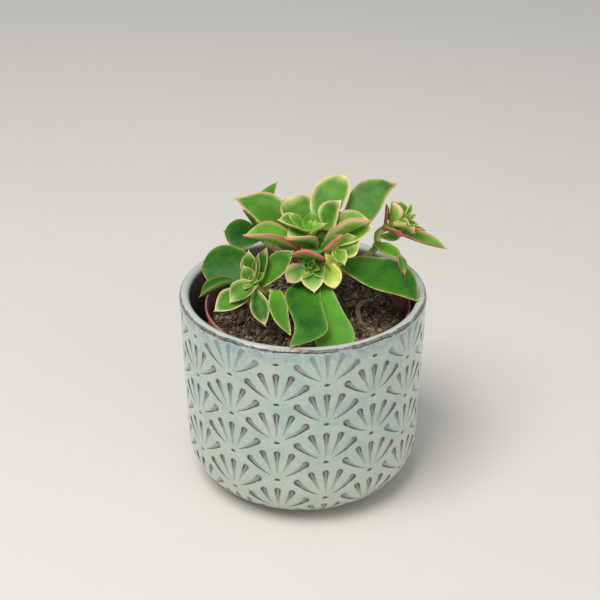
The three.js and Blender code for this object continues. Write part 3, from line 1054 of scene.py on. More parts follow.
@dataclass
class Soil:
    """A lumpy bed of peat with loose crumbs, fibres and a few white beads on it."""

    crumbs: int = 3000
    fibres: int = 620
    beads: int = 60
    seed: int = 11

    def __post_init__(self) -> None:
        """Takes its place and size from the solid."""
        low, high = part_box("potting_soil")
        self.centre = (low.x + high.x) / 2 / MM
        self.radius = (high.x - low.x) / 2 / MM
        self.top, self.base = high.z / MM, low.z / MM
        self.rng = np.random.default_rng(self.seed)
        self.lumps = self.rng.uniform(-1, 1, (240, 2)) * self.radius
        self.lump_size = self.rng.uniform(1.5, 6.5, 240)
        self.lump_rise = self.rng.normal(0, 0.20, 240) * self.lump_size

    def level(self, x: np.ndarray, y: np.ndarray) -> np.ndarray:
        """The soil's height: a low crown plus many round lumps and hollows.

        Args:
            x: Distance from the bed's middle.
            y: Distance from the bed's middle.

        Returns:
            Height in millimetres.
        """
        crown = self.top - 1.8 - 1.6 * (x**2 + y**2) / self.radius**2
        away = (x[..., None] - self.lumps[:, 0]) ** 2 + (y[..., None] - self.lumps[:, 1]) ** 2
        swell = (self.lump_rise * np.exp(-away / self.lump_size**2)).sum(-1)
        return crown + np.clip(swell, -2.6, 2.4)

    def bed(self) -> Skin:
        """The bed: a taper like the pot's inside, closed by the lumpy top.

        Returns:
            The bed's skin.
        """
        angle = np.linspace(0, 2 * math.pi, 180, endpoint=False)
        reach = np.linspace(1, 0, 70)[:-1] * self.radius
        x, y = reach[:, None] * np.cos(angle), reach[:, None] * np.sin(angle)
        top = np.stack([self.centre + x, y, self.level(x, y)], -1)
        low = np.linspace(0, 1, 8)[:, None]
        side_r = (self.radius - 15.5) + 15.3 * low
        side_z = self.base + (self.top - 6 - self.base) * low + 0 * angle
        side = np.stack([self.centre + side_r * np.cos(angle), side_r * np.sin(angle), side_z], -1)
        rings = np.concatenate([side, top])
        ends = np.array([[self.centre, 0, self.base],
                         [self.centre, 0, float(self.level(np.zeros(1), np.zeros(1))[0])]])
        uv = rings[..., :2] / 10
        marks = {"crumb": np.zeros_like(rings) + [0.02, 0, 0]}
        skin = Skin.tube(rings, ends, uv, ends[:, :2] / 10, marks, {"crumb": np.array([[0.02, 0, 0]] * 2)})
        skin.quads, skin.tris = skin.quads[:, ::-1], skin.tris[:, ::-1]
        return skin

    def scatter(self, count: int, reach: float) -> np.ndarray:
        """Random spots on the bed, evenly spread over its area.

        Args:
            count: How many.
            reach: How far they stay from the bed's edge.

        Returns:
            Positions, one row each.
        """
        spread = np.sqrt(self.rng.uniform(0, 1, count)) * (self.radius - reach)
        angle = self.rng.uniform(0, 2 * math.pi, count)
        x, y = spread * np.cos(angle), spread * np.sin(angle)
        return np.stack([x + self.centre, y, self.level(x, y)], -1)

    def clods(self, count: int, sizes: tuple[float, float], marks: np.ndarray, flat: float) -> Skin:
        """Many small uneven lumps: a 20-sided ball for each, pushed about and stretched.

        Args:
            count: How many.
            sizes: Least and greatest radius.
            marks: The crumb values, one row each.
            flat: How much thinner than wide they may be.

        Returns:
            All the lumps as one skin.
        """
        g = (1 + math.sqrt(5)) / 2
        ball = unit(np.array([[-1, g, 0], [1, g, 0], [-1, -g, 0], [1, -g, 0], [0, -1, g], [0, 1, g],
                              [0, -1, -g], [0, 1, -g], [g, 0, -1], [g, 0, 1], [-g, 0, -1], [-g, 0, 1]],
                              float))
        faces = np.array([[0, 11, 5], [0, 5, 1], [0, 1, 7], [0, 7, 10], [0, 10, 11], [1, 5, 9], [5, 11, 4],
                          [11, 10, 2], [10, 7, 6], [7, 1, 8], [3, 9, 4], [3, 4, 2], [3, 2, 6], [3, 6, 8],
                          [3, 8, 9], [4, 9, 5], [2, 4, 11], [6, 2, 10], [8, 6, 7], [9, 8, 1]])
        size = sizes[0] + (sizes[1] - sizes[0]) * self.rng.uniform(0, 1, count) ** 2.4
        shape = ball[None] * self.rng.uniform(0.5, 1.35, (count, 12, 1))
        shape = shape * self.rng.uniform(flat, 1.3, (count, 1, 3)) * size[:, None, None]
        turn, _ = np.linalg.qr(self.rng.normal(size=(count, 3, 3)))
        turn = turn * np.sign(np.linalg.det(turn))[:, None, None]
        shape = np.einsum("nij,nkj->nki", turn, shape)
        spots = self.scatter(count, 1.5 + sizes[1] * 0.6)
        spots[:, 2] += size * 0.35
        points = (shape + spots[:, None]).reshape(-1, 3)
        tris = (faces[None] + 12 * np.arange(count)[:, None, None]).reshape(-1, 3)
        values = {"crumb": np.repeat(marks, 12, axis=0)}
        return Skin(points, np.zeros((0, 4), int), tris, points[:, :2] / 10, values)

    def threads(self) -> Skin:
        """Bent root hairs and fibres lying on the bed: five-sided rods of seven rings.

        Returns:
            All the rods as one skin.
        """
        count, rings, sides = self.fibres, 7, 5
        start = self.scatter(count, 7)
        heading = self.rng.uniform(0, 2 * math.pi, count)
        length = 2.5 + 8 * self.rng.uniform(0, 1, count) ** 2
        curl = self.rng.normal(0, 0.9, count)
        t = np.linspace(-0.5, 0.5, rings)
        way = heading[:, None] + curl[:, None] * t
        x = start[:, None, 0] + length[:, None] * t * np.cos(way)
        y = start[:, None, 1] + length[:, None] * t * np.sin(way)
        away = np.hypot(x - self.centre, y)
        pull = np.minimum(1, (self.radius - 1.5) / away)
        x, y = self.centre + (x - self.centre) * pull, y * pull
        z = self.level(x - self.centre, y) + self.rng.uniform(0.2, 1.2, count)[:, None] + self.rng.normal(0,
            0.5, count)[:, None] * t
        thick = self.rng.uniform(0.10, 0.32, count)[:, None] * (1 - 0.9 * (2 * np.abs(t)) ** 3)
        angle = np.linspace(0, 2 * math.pi, sides, endpoint=False)
        side = np.stack([-np.sin(way), np.cos(way), np.zeros_like(way)], -1)
        spoke = side[:, :, None] * np.cos(angle)[None, None, :,
            None] + np.array([0, 0, 1.0]) * np.sin(angle)[None, None, :, None]
        body = np.stack([x, y, z], -1)[:, :, None] + spoke * thick[:, :, None, None]
        grid = np.arange(rings * sides).reshape(rings, sides)
        after = np.roll(grid, -1, axis=1)
        quads = np.stack([grid[:-1], after[:-1], after[1:], grid[1:]], -1).reshape(-1, 4)
        caps = np.concatenate([[[0, k + 1, k] for k in range(1, sides - 1)],
                               [[grid[-1, 0], grid[-1, k], grid[-1, k + 1]] for k in range(1, sides - 1)]])
        shift = (rings * sides * np.arange(count))[:, None, None]
        light = self.rng.uniform(0.2, 1.0, count)
        straw = self.rng.uniform(0, 1, count) ** 1.5
        marks = np.repeat(np.stack([light, straw, straw * 0], -1), rings * sides, axis=0)
        points = body.reshape(-1, 3)
        return Skin(points, (quads[None] + shift).reshape(-1, 4), (caps[None] + shift).reshape(-1, 3),
                    points[:, :2] / 10, {"crumb": marks})

    def build(self, material: bpy.types.Material) -> None:
        """Makes the bed and everything loose on it.

        Args:
            material: The soil.
        """
        self.bed().piece("soil_bed", Slot.SOIL, material, "potting_soil")
        light = self.rng.uniform(0, 1, self.crumbs) ** 1.6
        straw = np.where(self.rng.uniform(0, 1, self.crumbs) > 0.86, self.rng.uniform(0.3, 0.9, self.crumbs),
                         0)
        marks = np.stack([light, straw, straw * 0], -1)
        self.clods(self.crumbs, (0.3, 2.0), marks, 0.3).piece("soil_crumbs", Slot.SOIL, material,
                                                              faceted=True)
        beads = np.stack([np.ones(self.beads), np.zeros(self.beads), self.rng.uniform(0.5, 1, self.beads)],
                         -1)
        self.clods(self.beads, (0.35, 0.85), beads, 0.8).piece("perlite_beads", Slot.SOIL, material)
        self.threads().piece("soil_fibres", Slot.SOIL, material)


@dataclass(frozen=True)
class BarkFinish(Finish):
    """Rough grey-brown bark on a bare root, or a fleshy stem with worn patches.

    Attributes:
        smooth: Main colour.
        worn: Colour of the worn patches.
        dark: Colour in creases and scars.
        roughness: Middle roughness.
        crease: Height of the bark's bump, in millimetres.
    """

    smooth: tuple = tint(200, 226, 100)
    worn: tuple = tint(204, 186, 132)
    dark: tuple = tint(156, 160, 82)
    roughness: float = 0.5
    crease: float = 0.15

    def build(self, cloud: Group) -> bpy.types.Material:
        """Makes the bark.

        Args:
            cloud: The shared noise group.

        Returns:
            The material.
        """
        material, b, shader = self.start()
        place = b.place()
        scar, woody, _ = b.parts(b.mark("bark"))
        grain = cloud.put(b, Place=place, Size=0.0014)
        patch = cloud.put(b, Place=place, Size=0.007)
        tone = b.blend(b.math("ADD", b.math("MULTIPLY", patch["Broad"], 0.4), woody, clamp=True), self.smooth,
                       self.worn)
        shade = b.math("MULTIPLY_ADD", grain["Fine"], 0.3, b.math("MULTIPLY", scar, 0.6), clamp=True)
        b.feed(shader.inputs["Base Color"], b.blend(shade, tone, self.dark))
        b.feed(shader.inputs["Roughness"], b.math("MULTIPLY_ADD", grain["Wander"], 0.2, self.roughness - 0.1))
        self.bump(b, shader, grain["Wander"], self.crease, 0.8)
        return material


@dataclass(frozen=True)
class Stem:
    """One stem or root.

    Attributes:
        node: The solid that it stands for.
        points: Where it runs.
        radius: Its radius.
        scars: Rings left by fallen leaves.
        woody: How brown it is, at its start and at its end.
        alone: Whether it is a solid of its own, and not a leaf's stalk.
    """

    node: str
    points: tuple[Triple, ...]
    radius: float
    scars: int = 6
    woody: tuple[float, float] = (0.6, 0.0)
    alone: bool = True

    def build(self, slot: Slot, material: bpy.types.Material) -> None:
        """Makes the stem, with a swelling at each scar and a slight taper.

        The radius is r (1.04 - 0.12 t) plus a narrow bump at each of the scars, and a slow
        wave round the ring that turns with the length.

        Args:
            slot: The record's slot.
            material: The bark.
        """
        rows, around = 26 + 8 * self.scars, 24
        t = np.linspace(0, 1, rows)
        angle = np.linspace(0, 2 * math.pi, around, endpoint=False)
        phase = t * (self.scars + 0.5) * 2 * math.pi
        ring = np.clip(np.cos(phase), 0, 1) ** 8
        body = self.radius * (1.04 - 0.12 * t + 0.09 * ring)[:, None]
        wave = 1 + 0.035 * np.sin(2 * angle[None] + 7 * t[:, None]) + 0.02 * np.sin(3 * angle[None]
                                                                                    - 11 * t[:, None])
        close = np.sqrt(np.clip(1 - np.abs(2 * t - 1) ** 40, 0.02, 1))[:, None]
        woody = self.woody[0] + (self.woody[1] - self.woody[0]) * t
        marks = {"bark": np.stack([np.clip(np.cos(phase + 0.5), 0, 1) ** 10, woody, 0 * t], -1)}
        skin = path_tube(curve_points(self.points, rows), body * wave * close, around, marks)
        skin.piece(self.node + "_grown", slot, material, *((self.node,) if self.alone else ()))


# --- Leaves -------------------------------------------------------------------------------


@dataclass(frozen=True)
class LeafFinish(Finish):
    """Fleshy satin leaf: green core, cream band inside the margin, pink on the edge."""

    deep: tuple = tint(8, 78, 14)
    light: tuple = tint(100, 168, 38)
    cream: tuple = tint(224, 206, 148)
    coral: tuple = tint(222, 140, 112)
    magenta: tuple = tint(206, 58, 88)
    under: tuple = tint(76, 122, 54)
    roughness: float = 0.5

    def build(self, cloud: Group, bands: Group) -> bpy.types.Material:
        """Makes the leaf.

        Args:
            cloud: The shared noise group.
            bands: The shared group that lays the colour bands.

        Returns:
            The material.
        """
        material, b, shader = self.start()
        place = b.place()
        drawn = bands.put(b, Place=place, Flat=b.place("UV"), Blade=b.mark("blade"), Rind=b.mark("rind"),
                          Stripe=b.mark("stripe"), Deep=self.deep, Light=self.light, Cream=self.cream,
                          Coral=self.coral, Magenta=self.magenta, Under=self.under)
        grain = cloud.put(b, Place=place, Size=0.0012)
        b.feed(shader.inputs["Base Color"], drawn["Colour"])
        b.feed(shader.inputs["Roughness"],
               b.math("MULTIPLY_ADD", grain["Wander"], 0.16, self.roughness - 0.08))
        height = b.math("MULTIPLY_ADD", grain["Wander"], 0.5, drawn["Vein"])
        self.bump(b, shader, height, 0.10, 0.7)
        shader.inputs["Subsurface Weight"].default_value = 0.12
        shader.inputs["Subsurface Radius"].default_value = (0.5, 1.0, 0.2)
        shader.inputs["Subsurface Scale"].default_value = 0.0015
        shader.inputs["Specular IOR Level"].default_value = 0.25
        return material


def leaf_bands_group() -> Group:
    """The leaf's colour bands, from its margin distance and the strengths it carries.

    Blade holds the distance from the margin in millimetres, the side (1 face, -1 back) and
    the share of the way along. Rind holds the pink's strength, width and hue. Stripe holds
    the cream's strength and width and the core's lightness.

    Returns:
        The group.
    """
    inputs = {key: (0.0, 0.0, 0.0) for key in ("Place", "Flat", "Blade", "Rind", "Stripe")}
    inputs |= {key: (0.5, 0.5, 0.5, 1.0) for key in ("Deep", "Light", "Cream", "Coral", "Magenta", "Under")}
    group = Group("leaf_bands", inputs, ("Colour", "Vein"))
    b, given = group.bench, group.given
    margin, side, run = b.parts(given["Blade"])
    pink, pink_wide, hue = b.parts(given["Rind"])
    cream, cream_wide, tone = b.parts(given["Stripe"])
    streak_place = b.vector("MULTIPLY", given["Flat"], (16.0, 1.6, 1.0))
    streak = b.noise(streak_place, 1.0, 2.0)
    wobble = b.noise(given["Place"], 330.0, 2.0)
    patch = b.noise(given["Place"], 110.0, 3.0)
    margin = b.math("MULTIPLY_ADD", b.math("SUBTRACT", wobble, 0.5), 1.1, margin)

    core = b.math("MULTIPLY_ADD", b.math("SUBTRACT", streak, 0.5), 0.28, tone)
    core = b.math("MULTIPLY_ADD", b.math("SUBTRACT", patch, 0.5), 0.8, core)
    core = b.math("MULTIPLY_ADD", b.step(run, 0.35, 0.0), 0.25, core)
    core = b.math("MULTIPLY_ADD", b.step(margin, 3.2, 0.4), 0.22, core, clamp=True)
    colour = b.blend(core, given["Deep"], given["Light"])
    colour = b.blend(b.math("MULTIPLY", b.step(side, -0.1, -0.8), 0.6), colour, given["Under"])
    specks = b.step(b.noise(given["Place"], 1500.0, 1.0), 0.66, 0.74)
    colour = b.blend(b.math("MULTIPLY", specks, 0.4), colour, given["Light"])
    uneven = b.math("MULTIPLY_ADD", patch, 0.6, 0.72)
    halo = b.step(margin, b.math("MULTIPLY", cream_wide, 2.0), b.math("MULTIPLY", cream_wide, 0.4))
    band = b.step(margin, b.math("MULTIPLY", cream_wide, 0.95), b.math("MULTIPLY", cream_wide, 0.1))
    laid = b.math("ADD", b.math("MULTIPLY", halo, 0.45), b.math("MULTIPLY", band, 0.6))
    cream_mask = b.math("MULTIPLY", b.math("MULTIPLY", laid, cream), uneven, clamp=True)
    colour = b.blend(cream_mask, colour, given["Cream"])
    edge = b.blend(hue, given["Coral"], given["Magenta"])
    far, near = b.math("MULTIPLY", pink_wide, 1.5), b.math("MULTIPLY", pink_wide, 0.35)
    pink_mask = b.math("MULTIPLY", b.math("MULTIPLY", b.step(margin, far, near), pink), uneven, clamp=True)
    colour = b.blend(pink_mask, colour, edge)
    group.give(Colour=colour, Vein=b.math("MULTIPLY", streak, 0.8))
    return group


@dataclass(frozen=True)
class Dress:
    """How one leaf is coloured, on top of its finish.

    Attributes:
        tone: Lightness of the core, 0 to 1.
        cream: Strength and width of the band inside the margin.
        pink: Strength and width of the pink edge.
        hue: 0 for coral, 1 for magenta.
        lean: -1 for pink on the left margin only, 1 for the right only, as seen from its base.
        fade: Share of the pink left at the base and at the tip.
    """

    tone: float = 0.4
    cream: tuple[float, float] = (0.5, 1.2)
    pink: tuple[float, float] = (0.7, 0.6)
    hue: float = 0.3
    lean: float = 0.0
    fade: tuple[float, float] = (0.7, 1.0)


@dataclass(frozen=True)
class Leaf:
    """One fleshy leaf from base to tip.

    Attributes:
        base: Where it starts.
        tip: Where it ends.
        width: Its greatest width.
        roll: Turn of its face about its length, in degrees.
        bend: Arch along its length, in degrees.
        cup: Fold of its edges, in degrees.
        edges: Optional free outline: share of the way along, then how far each margin
            stands from the straight middle line, the +side one first.
        face: Optional way that its face looks, in place of its rosette's.
        taper: How much thinner the tip is than the base.
        widest: Where along it is widest.
        blunt: 0 for a pointed end, 1 for a round one.
        thickness: Thickness at the base.
        rim: Thickness of the margin, as a share of the middle's.
        mucro: Length of the fine point.
        wave: Height of the margin's waves.
        neck: Width at the base, as a share of the widest.
        dress: How it is coloured.
    """

    base: Triple
    tip: Triple
    width: float
    roll: float = 0.0
    bend: float = 0.0
    cup: float = 0.0
    edges: tuple[Triple, ...] = ()
    face: Triple | None = None
    taper: float = 0.5
    widest: float = 0.58
    blunt: float = 0.0
    thickness: float = 2.0
    rim: float = 0.45
    mucro: float = 1.0
    wave: float = 0.35
    neck: float = 0.3
    dress: Dress = Dress()

    def outline(self, s: np.ndarray) -> np.ndarray:
        """A rising sine to the widest, then a parabola, an ellipse as blunt goes to 1.

        Args:
            s: Share of the way from base to tip.

        Returns:
            Half width as a share of the widest.
        """
        rise = self.neck + (1 - self.neck) * np.sin(np.clip(s / self.widest, 0, 1) * math.pi / 2) ** 1.15
        fall = (1 - np.clip((s - self.widest) / (1 - self.widest), 0, 1) ** 2) ** (1 - 0.5 * self.blunt)
        return np.where(s < self.widest, rise, fall)

    def skin(self, up: Triple, seed: int, rows: int = 40, around: int = 48) -> Skin:
        """Works the leaf out on a grid of length by angle round its section.

        The section is a flattened oval: across = cos a, and the face stands off the middle
        surface by half the thickness x sin a, which thins to the rim. The edges lift by the
        cup, the length follows an arc of the bend, and slow waves run along the margin.

        Args:
            up: The way the leaf's face looks.
            seed: Picks its waves.
            rows: Steps along its length.
            around: Steps round its section.

        Returns:
            The leaf's skin, with its blade, rind and stripe marks.
        """
        rng = np.random.default_rng(seed)
        base, tip = np.array(self.base, float), np.array(self.tip, float)
        length = float(np.linalg.norm(tip - base))
        along = (tip - base) / length
        up = np.array(self.face or up, float)
        normal = unit(up - along * (up @ along))
        roll = math.radians(self.roll)
        normal = normal * math.cos(roll) + np.cross(along, normal) * math.sin(roll)
        side = np.cross(along, normal)

        last = 1 + self.mucro / length
        s = last * (1 - (1 - np.linspace(0, 1, rows)) ** 1.25)[:, None]
        angle = np.linspace(0, 2 * math.pi, around, endpoint=False)[None]
        if self.edges:
            drawn = curve_points(self.edges, rows)
            s, plus, minus = (drawn[:, k, None] for k in range(3))
            last = float(s[-1, 0])
            half, middle = np.maximum((plus + minus) / 2, 0.12), (plus - minus) / 2
        else:
            point = 0.55 * np.clip((last - s) / (last - 0.93), 0, 1) ** 0.8 + 0.02
            half = np.hypot(self.width / 2 * self.outline(s), point)
            middle = np.zeros_like(s)
        across = np.cos(angle) + 0 * s
        face = np.sign(np.sin(angle)) * np.abs(np.sin(angle)) ** 0.7 + 0 * s
        thin = 1 - self.taper * np.clip(s, 0, 1)
        fine = np.clip((last - s) / 0.12, 0.08, 1) ** 0.5
        thick = self.thickness / 2 * thin * (self.rim + (1 - self.rim) * (1 - across**2)) * fine
        groove = 0.12 * np.exp(-((across / 0.16) ** 2)) * (face > 0) * np.clip(1 - s, 0, 1)

        lift = math.radians(self.cup) * (0.35 + 0.65 * np.abs(across))
        waves = np.sin(2 * math.pi * (rng.uniform(1.2, 2.2) * s + rng.uniform())) * self.wave
        waves = np.where(across > 0, waves,
                         np.sin(2 * math.pi * (rng.uniform(1.2, 2.2) * s + rng.uniform())) * self.wave)
        waves = waves * across**4 * np.clip(4 * s * (1.1 - s), 0, 1)
        held = np.clip(s, 0, 1)
        bowl = np.sqrt(across**2 + 0.07) - 0.2
        x = half * across * np.cos(lift) + middle
        z = half * bowl * np.sin(lift) + thick * face - groove + waves

        arch = math.radians(self.bend if abs(self.bend) >= 1 else 1.0)
        arc_radius = length / (2 * math.sin(arch / 2))
        turn = arch * (s - 0.5)
        run = arc_radius * (np.sin(turn) + math.sin(arch / 2)) + z * np.sin(turn)
        rise = arc_radius * (np.cos(turn) - math.cos(arch / 2)) + z * np.cos(turn)
        rings = base + run[..., None] * along + rise[..., None] * normal + x[..., None] * side
        ends = rings[[0, -1]].mean(axis=1)

        margin = np.minimum(half * (1 - np.abs(across)) * 1.02, (last - s) * length * 0.55)
        look = self.dress
        leaning = np.clip(1 + look.lean * np.sign(across) * ease(np.abs(across), 0, 0.4), 0, 1)
        strength = look.pink[0] * leaning * (look.fade[0] + (look.fade[1] - look.fade[0]) * held)
        ones = np.ones_like(across)
        marks = {
            "blade": np.stack([margin, face, held * ones], -1),
            "rind": np.stack([strength, look.pink[1] * ones, look.hue * ones], -1),
            "stripe": np.stack([look.cream[0] * ones, look.cream[1] * ones, look.tone * ones], -1),
        }
        end_marks = {key: value[[0, -1]].mean(axis=1) for key, value in marks.items()}
        uv = np.stack([half * across, held * length * ones], -1) / 10
        return Skin.tube(rings, ends, uv, uv[[0, -1]].mean(axis=1), marks, end_marks)


@dataclass(frozen=True)
class Heart:
    """The crowded young leaves at the middle of a rosette.

    Attributes:
        centre: Its middle.
        axis: The way that the rosette faces.
        length: Length of the outermost young leaf.
        width: Its width.
        count: How many young leaves.
        turn: Where the first one stands about the axis, in degrees.
        spread: How far the outermost opens, in degrees.
        dress: How they are coloured.
        extra: Young leaves with places of their own.
    """

    centre: Triple
    axis: Triple
    length: float
    width: float
    count: int = 9
    turn: float = 0.0
    spread: float = 56.0
    dress: Dress = Dress(tone=0.7, cream=(0.6, 0.5), pink=(0.0, 0.3))
    extra: tuple[Leaf, ...] = ()

    def skin(self) -> Skin:
        """Sets young leaves at golden-angle steps, each leaning out more than the last.

        Leaf i stands at 137.5 degrees x i about the axis, opens further and grows with i,
        and arches back in over the middle.

        Returns:
            All the young leaves and the foot that carries them as one skin.
        """
        up = unit(np.array(self.axis, float))
        aside = unit(np.array([1.0, 0, 0]) - up * up[0])
        foot = np.array(self.centre, float) - 1.5 * up
        leaves = []
        for i in range(self.count):
            share = i / (self.count - 1)
            turn = math.radians(GOLDEN_ANGLE * i + self.turn)
            outward = aside * math.cos(turn) + np.cross(up, aside) * math.sin(turn)
            opened = math.radians(4 + (self.spread - 4) * share**1.3)
            reach = self.length * (0.62 + 0.46 * share)
            start = foot + outward * (0.25 + 0.6 * share)
            tip = foot + up * reach * math.cos(opened) + outward * (reach * math.sin(opened) + 0.5)
            leaf = Leaf(tuple(start), tuple(tip), self.width * (0.5 + 0.5 * share), bend=-30 + 12 * share,
                        cup=62 - 22 * share, widest=0.55, thickness=1.3, rim=0.5, mucro=0.5, wave=0.1,
                        neck=0.5, dress=self.dress)
            leaves.append(leaf.skin(tuple(up - 0.9 * outward), YOUNG_SEED + i, rows=22, around=28))
        leaves += [leaf.skin(tuple(up), EXTRA_SEED + i, rows=28, around=36) for i,
                   leaf in enumerate(self.extra)]
        path = np.stack([foot - up * self.width * 0.35, foot, foot + up * self.width * 0.3])
        path = curve_points([tuple(p) for p in path], 12)
        t = np.linspace(-1, 1, 12)
        radius = self.width * 0.32 * np.sqrt(np.clip(1 - t**2, 0.02, 1))
        look = {"blade": np.tile([5.0, 0.5, 0.2], (12, 1)), "rind": np.tile([0.0, 0.3, 0.0], (12, 1)),
                "stripe": np.tile([0.0, 0.5, self.dress.tone], (12, 1))}
        leaves.append(path_tube(path, radius, 28, look))
        return Skin.joined(leaves)


EMERALD = Dress(tone=0.3, cream=(0.35, 0.8), pink=(0.55, 0.5), hue=0.35)
PALE_EDGED = Dress(tone=0.34, cream=(1.0, 1.3), pink=(0.0, 0.3), hue=0.1)
YOUNG = Dress(tone=0.6, cream=(0.7, 0.5), pink=(0.0, 0.3))


@dataclass
class Rosette:
    """One rosette: its heart and the leaves round it.

    Attributes:
        name: What its nodes' names start with.
        heart: Its heart.
        leaves: Its leaves by name.
        slot: The record's slot of its leaves.
        tucked: Leaves with no solid of their own, tucked under the others.
    """

    name: str
    heart: Heart
    leaves: dict[str, Leaf]
    slot: Slot
    tucked: tuple[Leaf, ...] = ()

    def build(self, finishes: dict[Slot, bpy.types.Material]) -> None:
        """Makes each leaf and the heart as pieces of their own.

        Args:
            finishes: The leaf materials by slot.
        """
        material = finishes[self.slot]
        for number, (name, leaf) in enumerate(self.leaves.items()):
            node = f"{self.name}_leaf_{name}"
            leaf.skin(self.heart.axis, LEAF_SEED + number).piece(node + "_blade", self.slot, material, node)
        for number, leaf in enumerate(self.tucked):
            leaf.skin(self.heart.axis, TUCKED_SEED + number).piece(f"{self.name}_tucked_leaf_{number}",
                                                                   self.slot, material)
        node = self.name + "_heart"
        self.heart.skin().piece(node + "_leaves", self.slot, material, node)


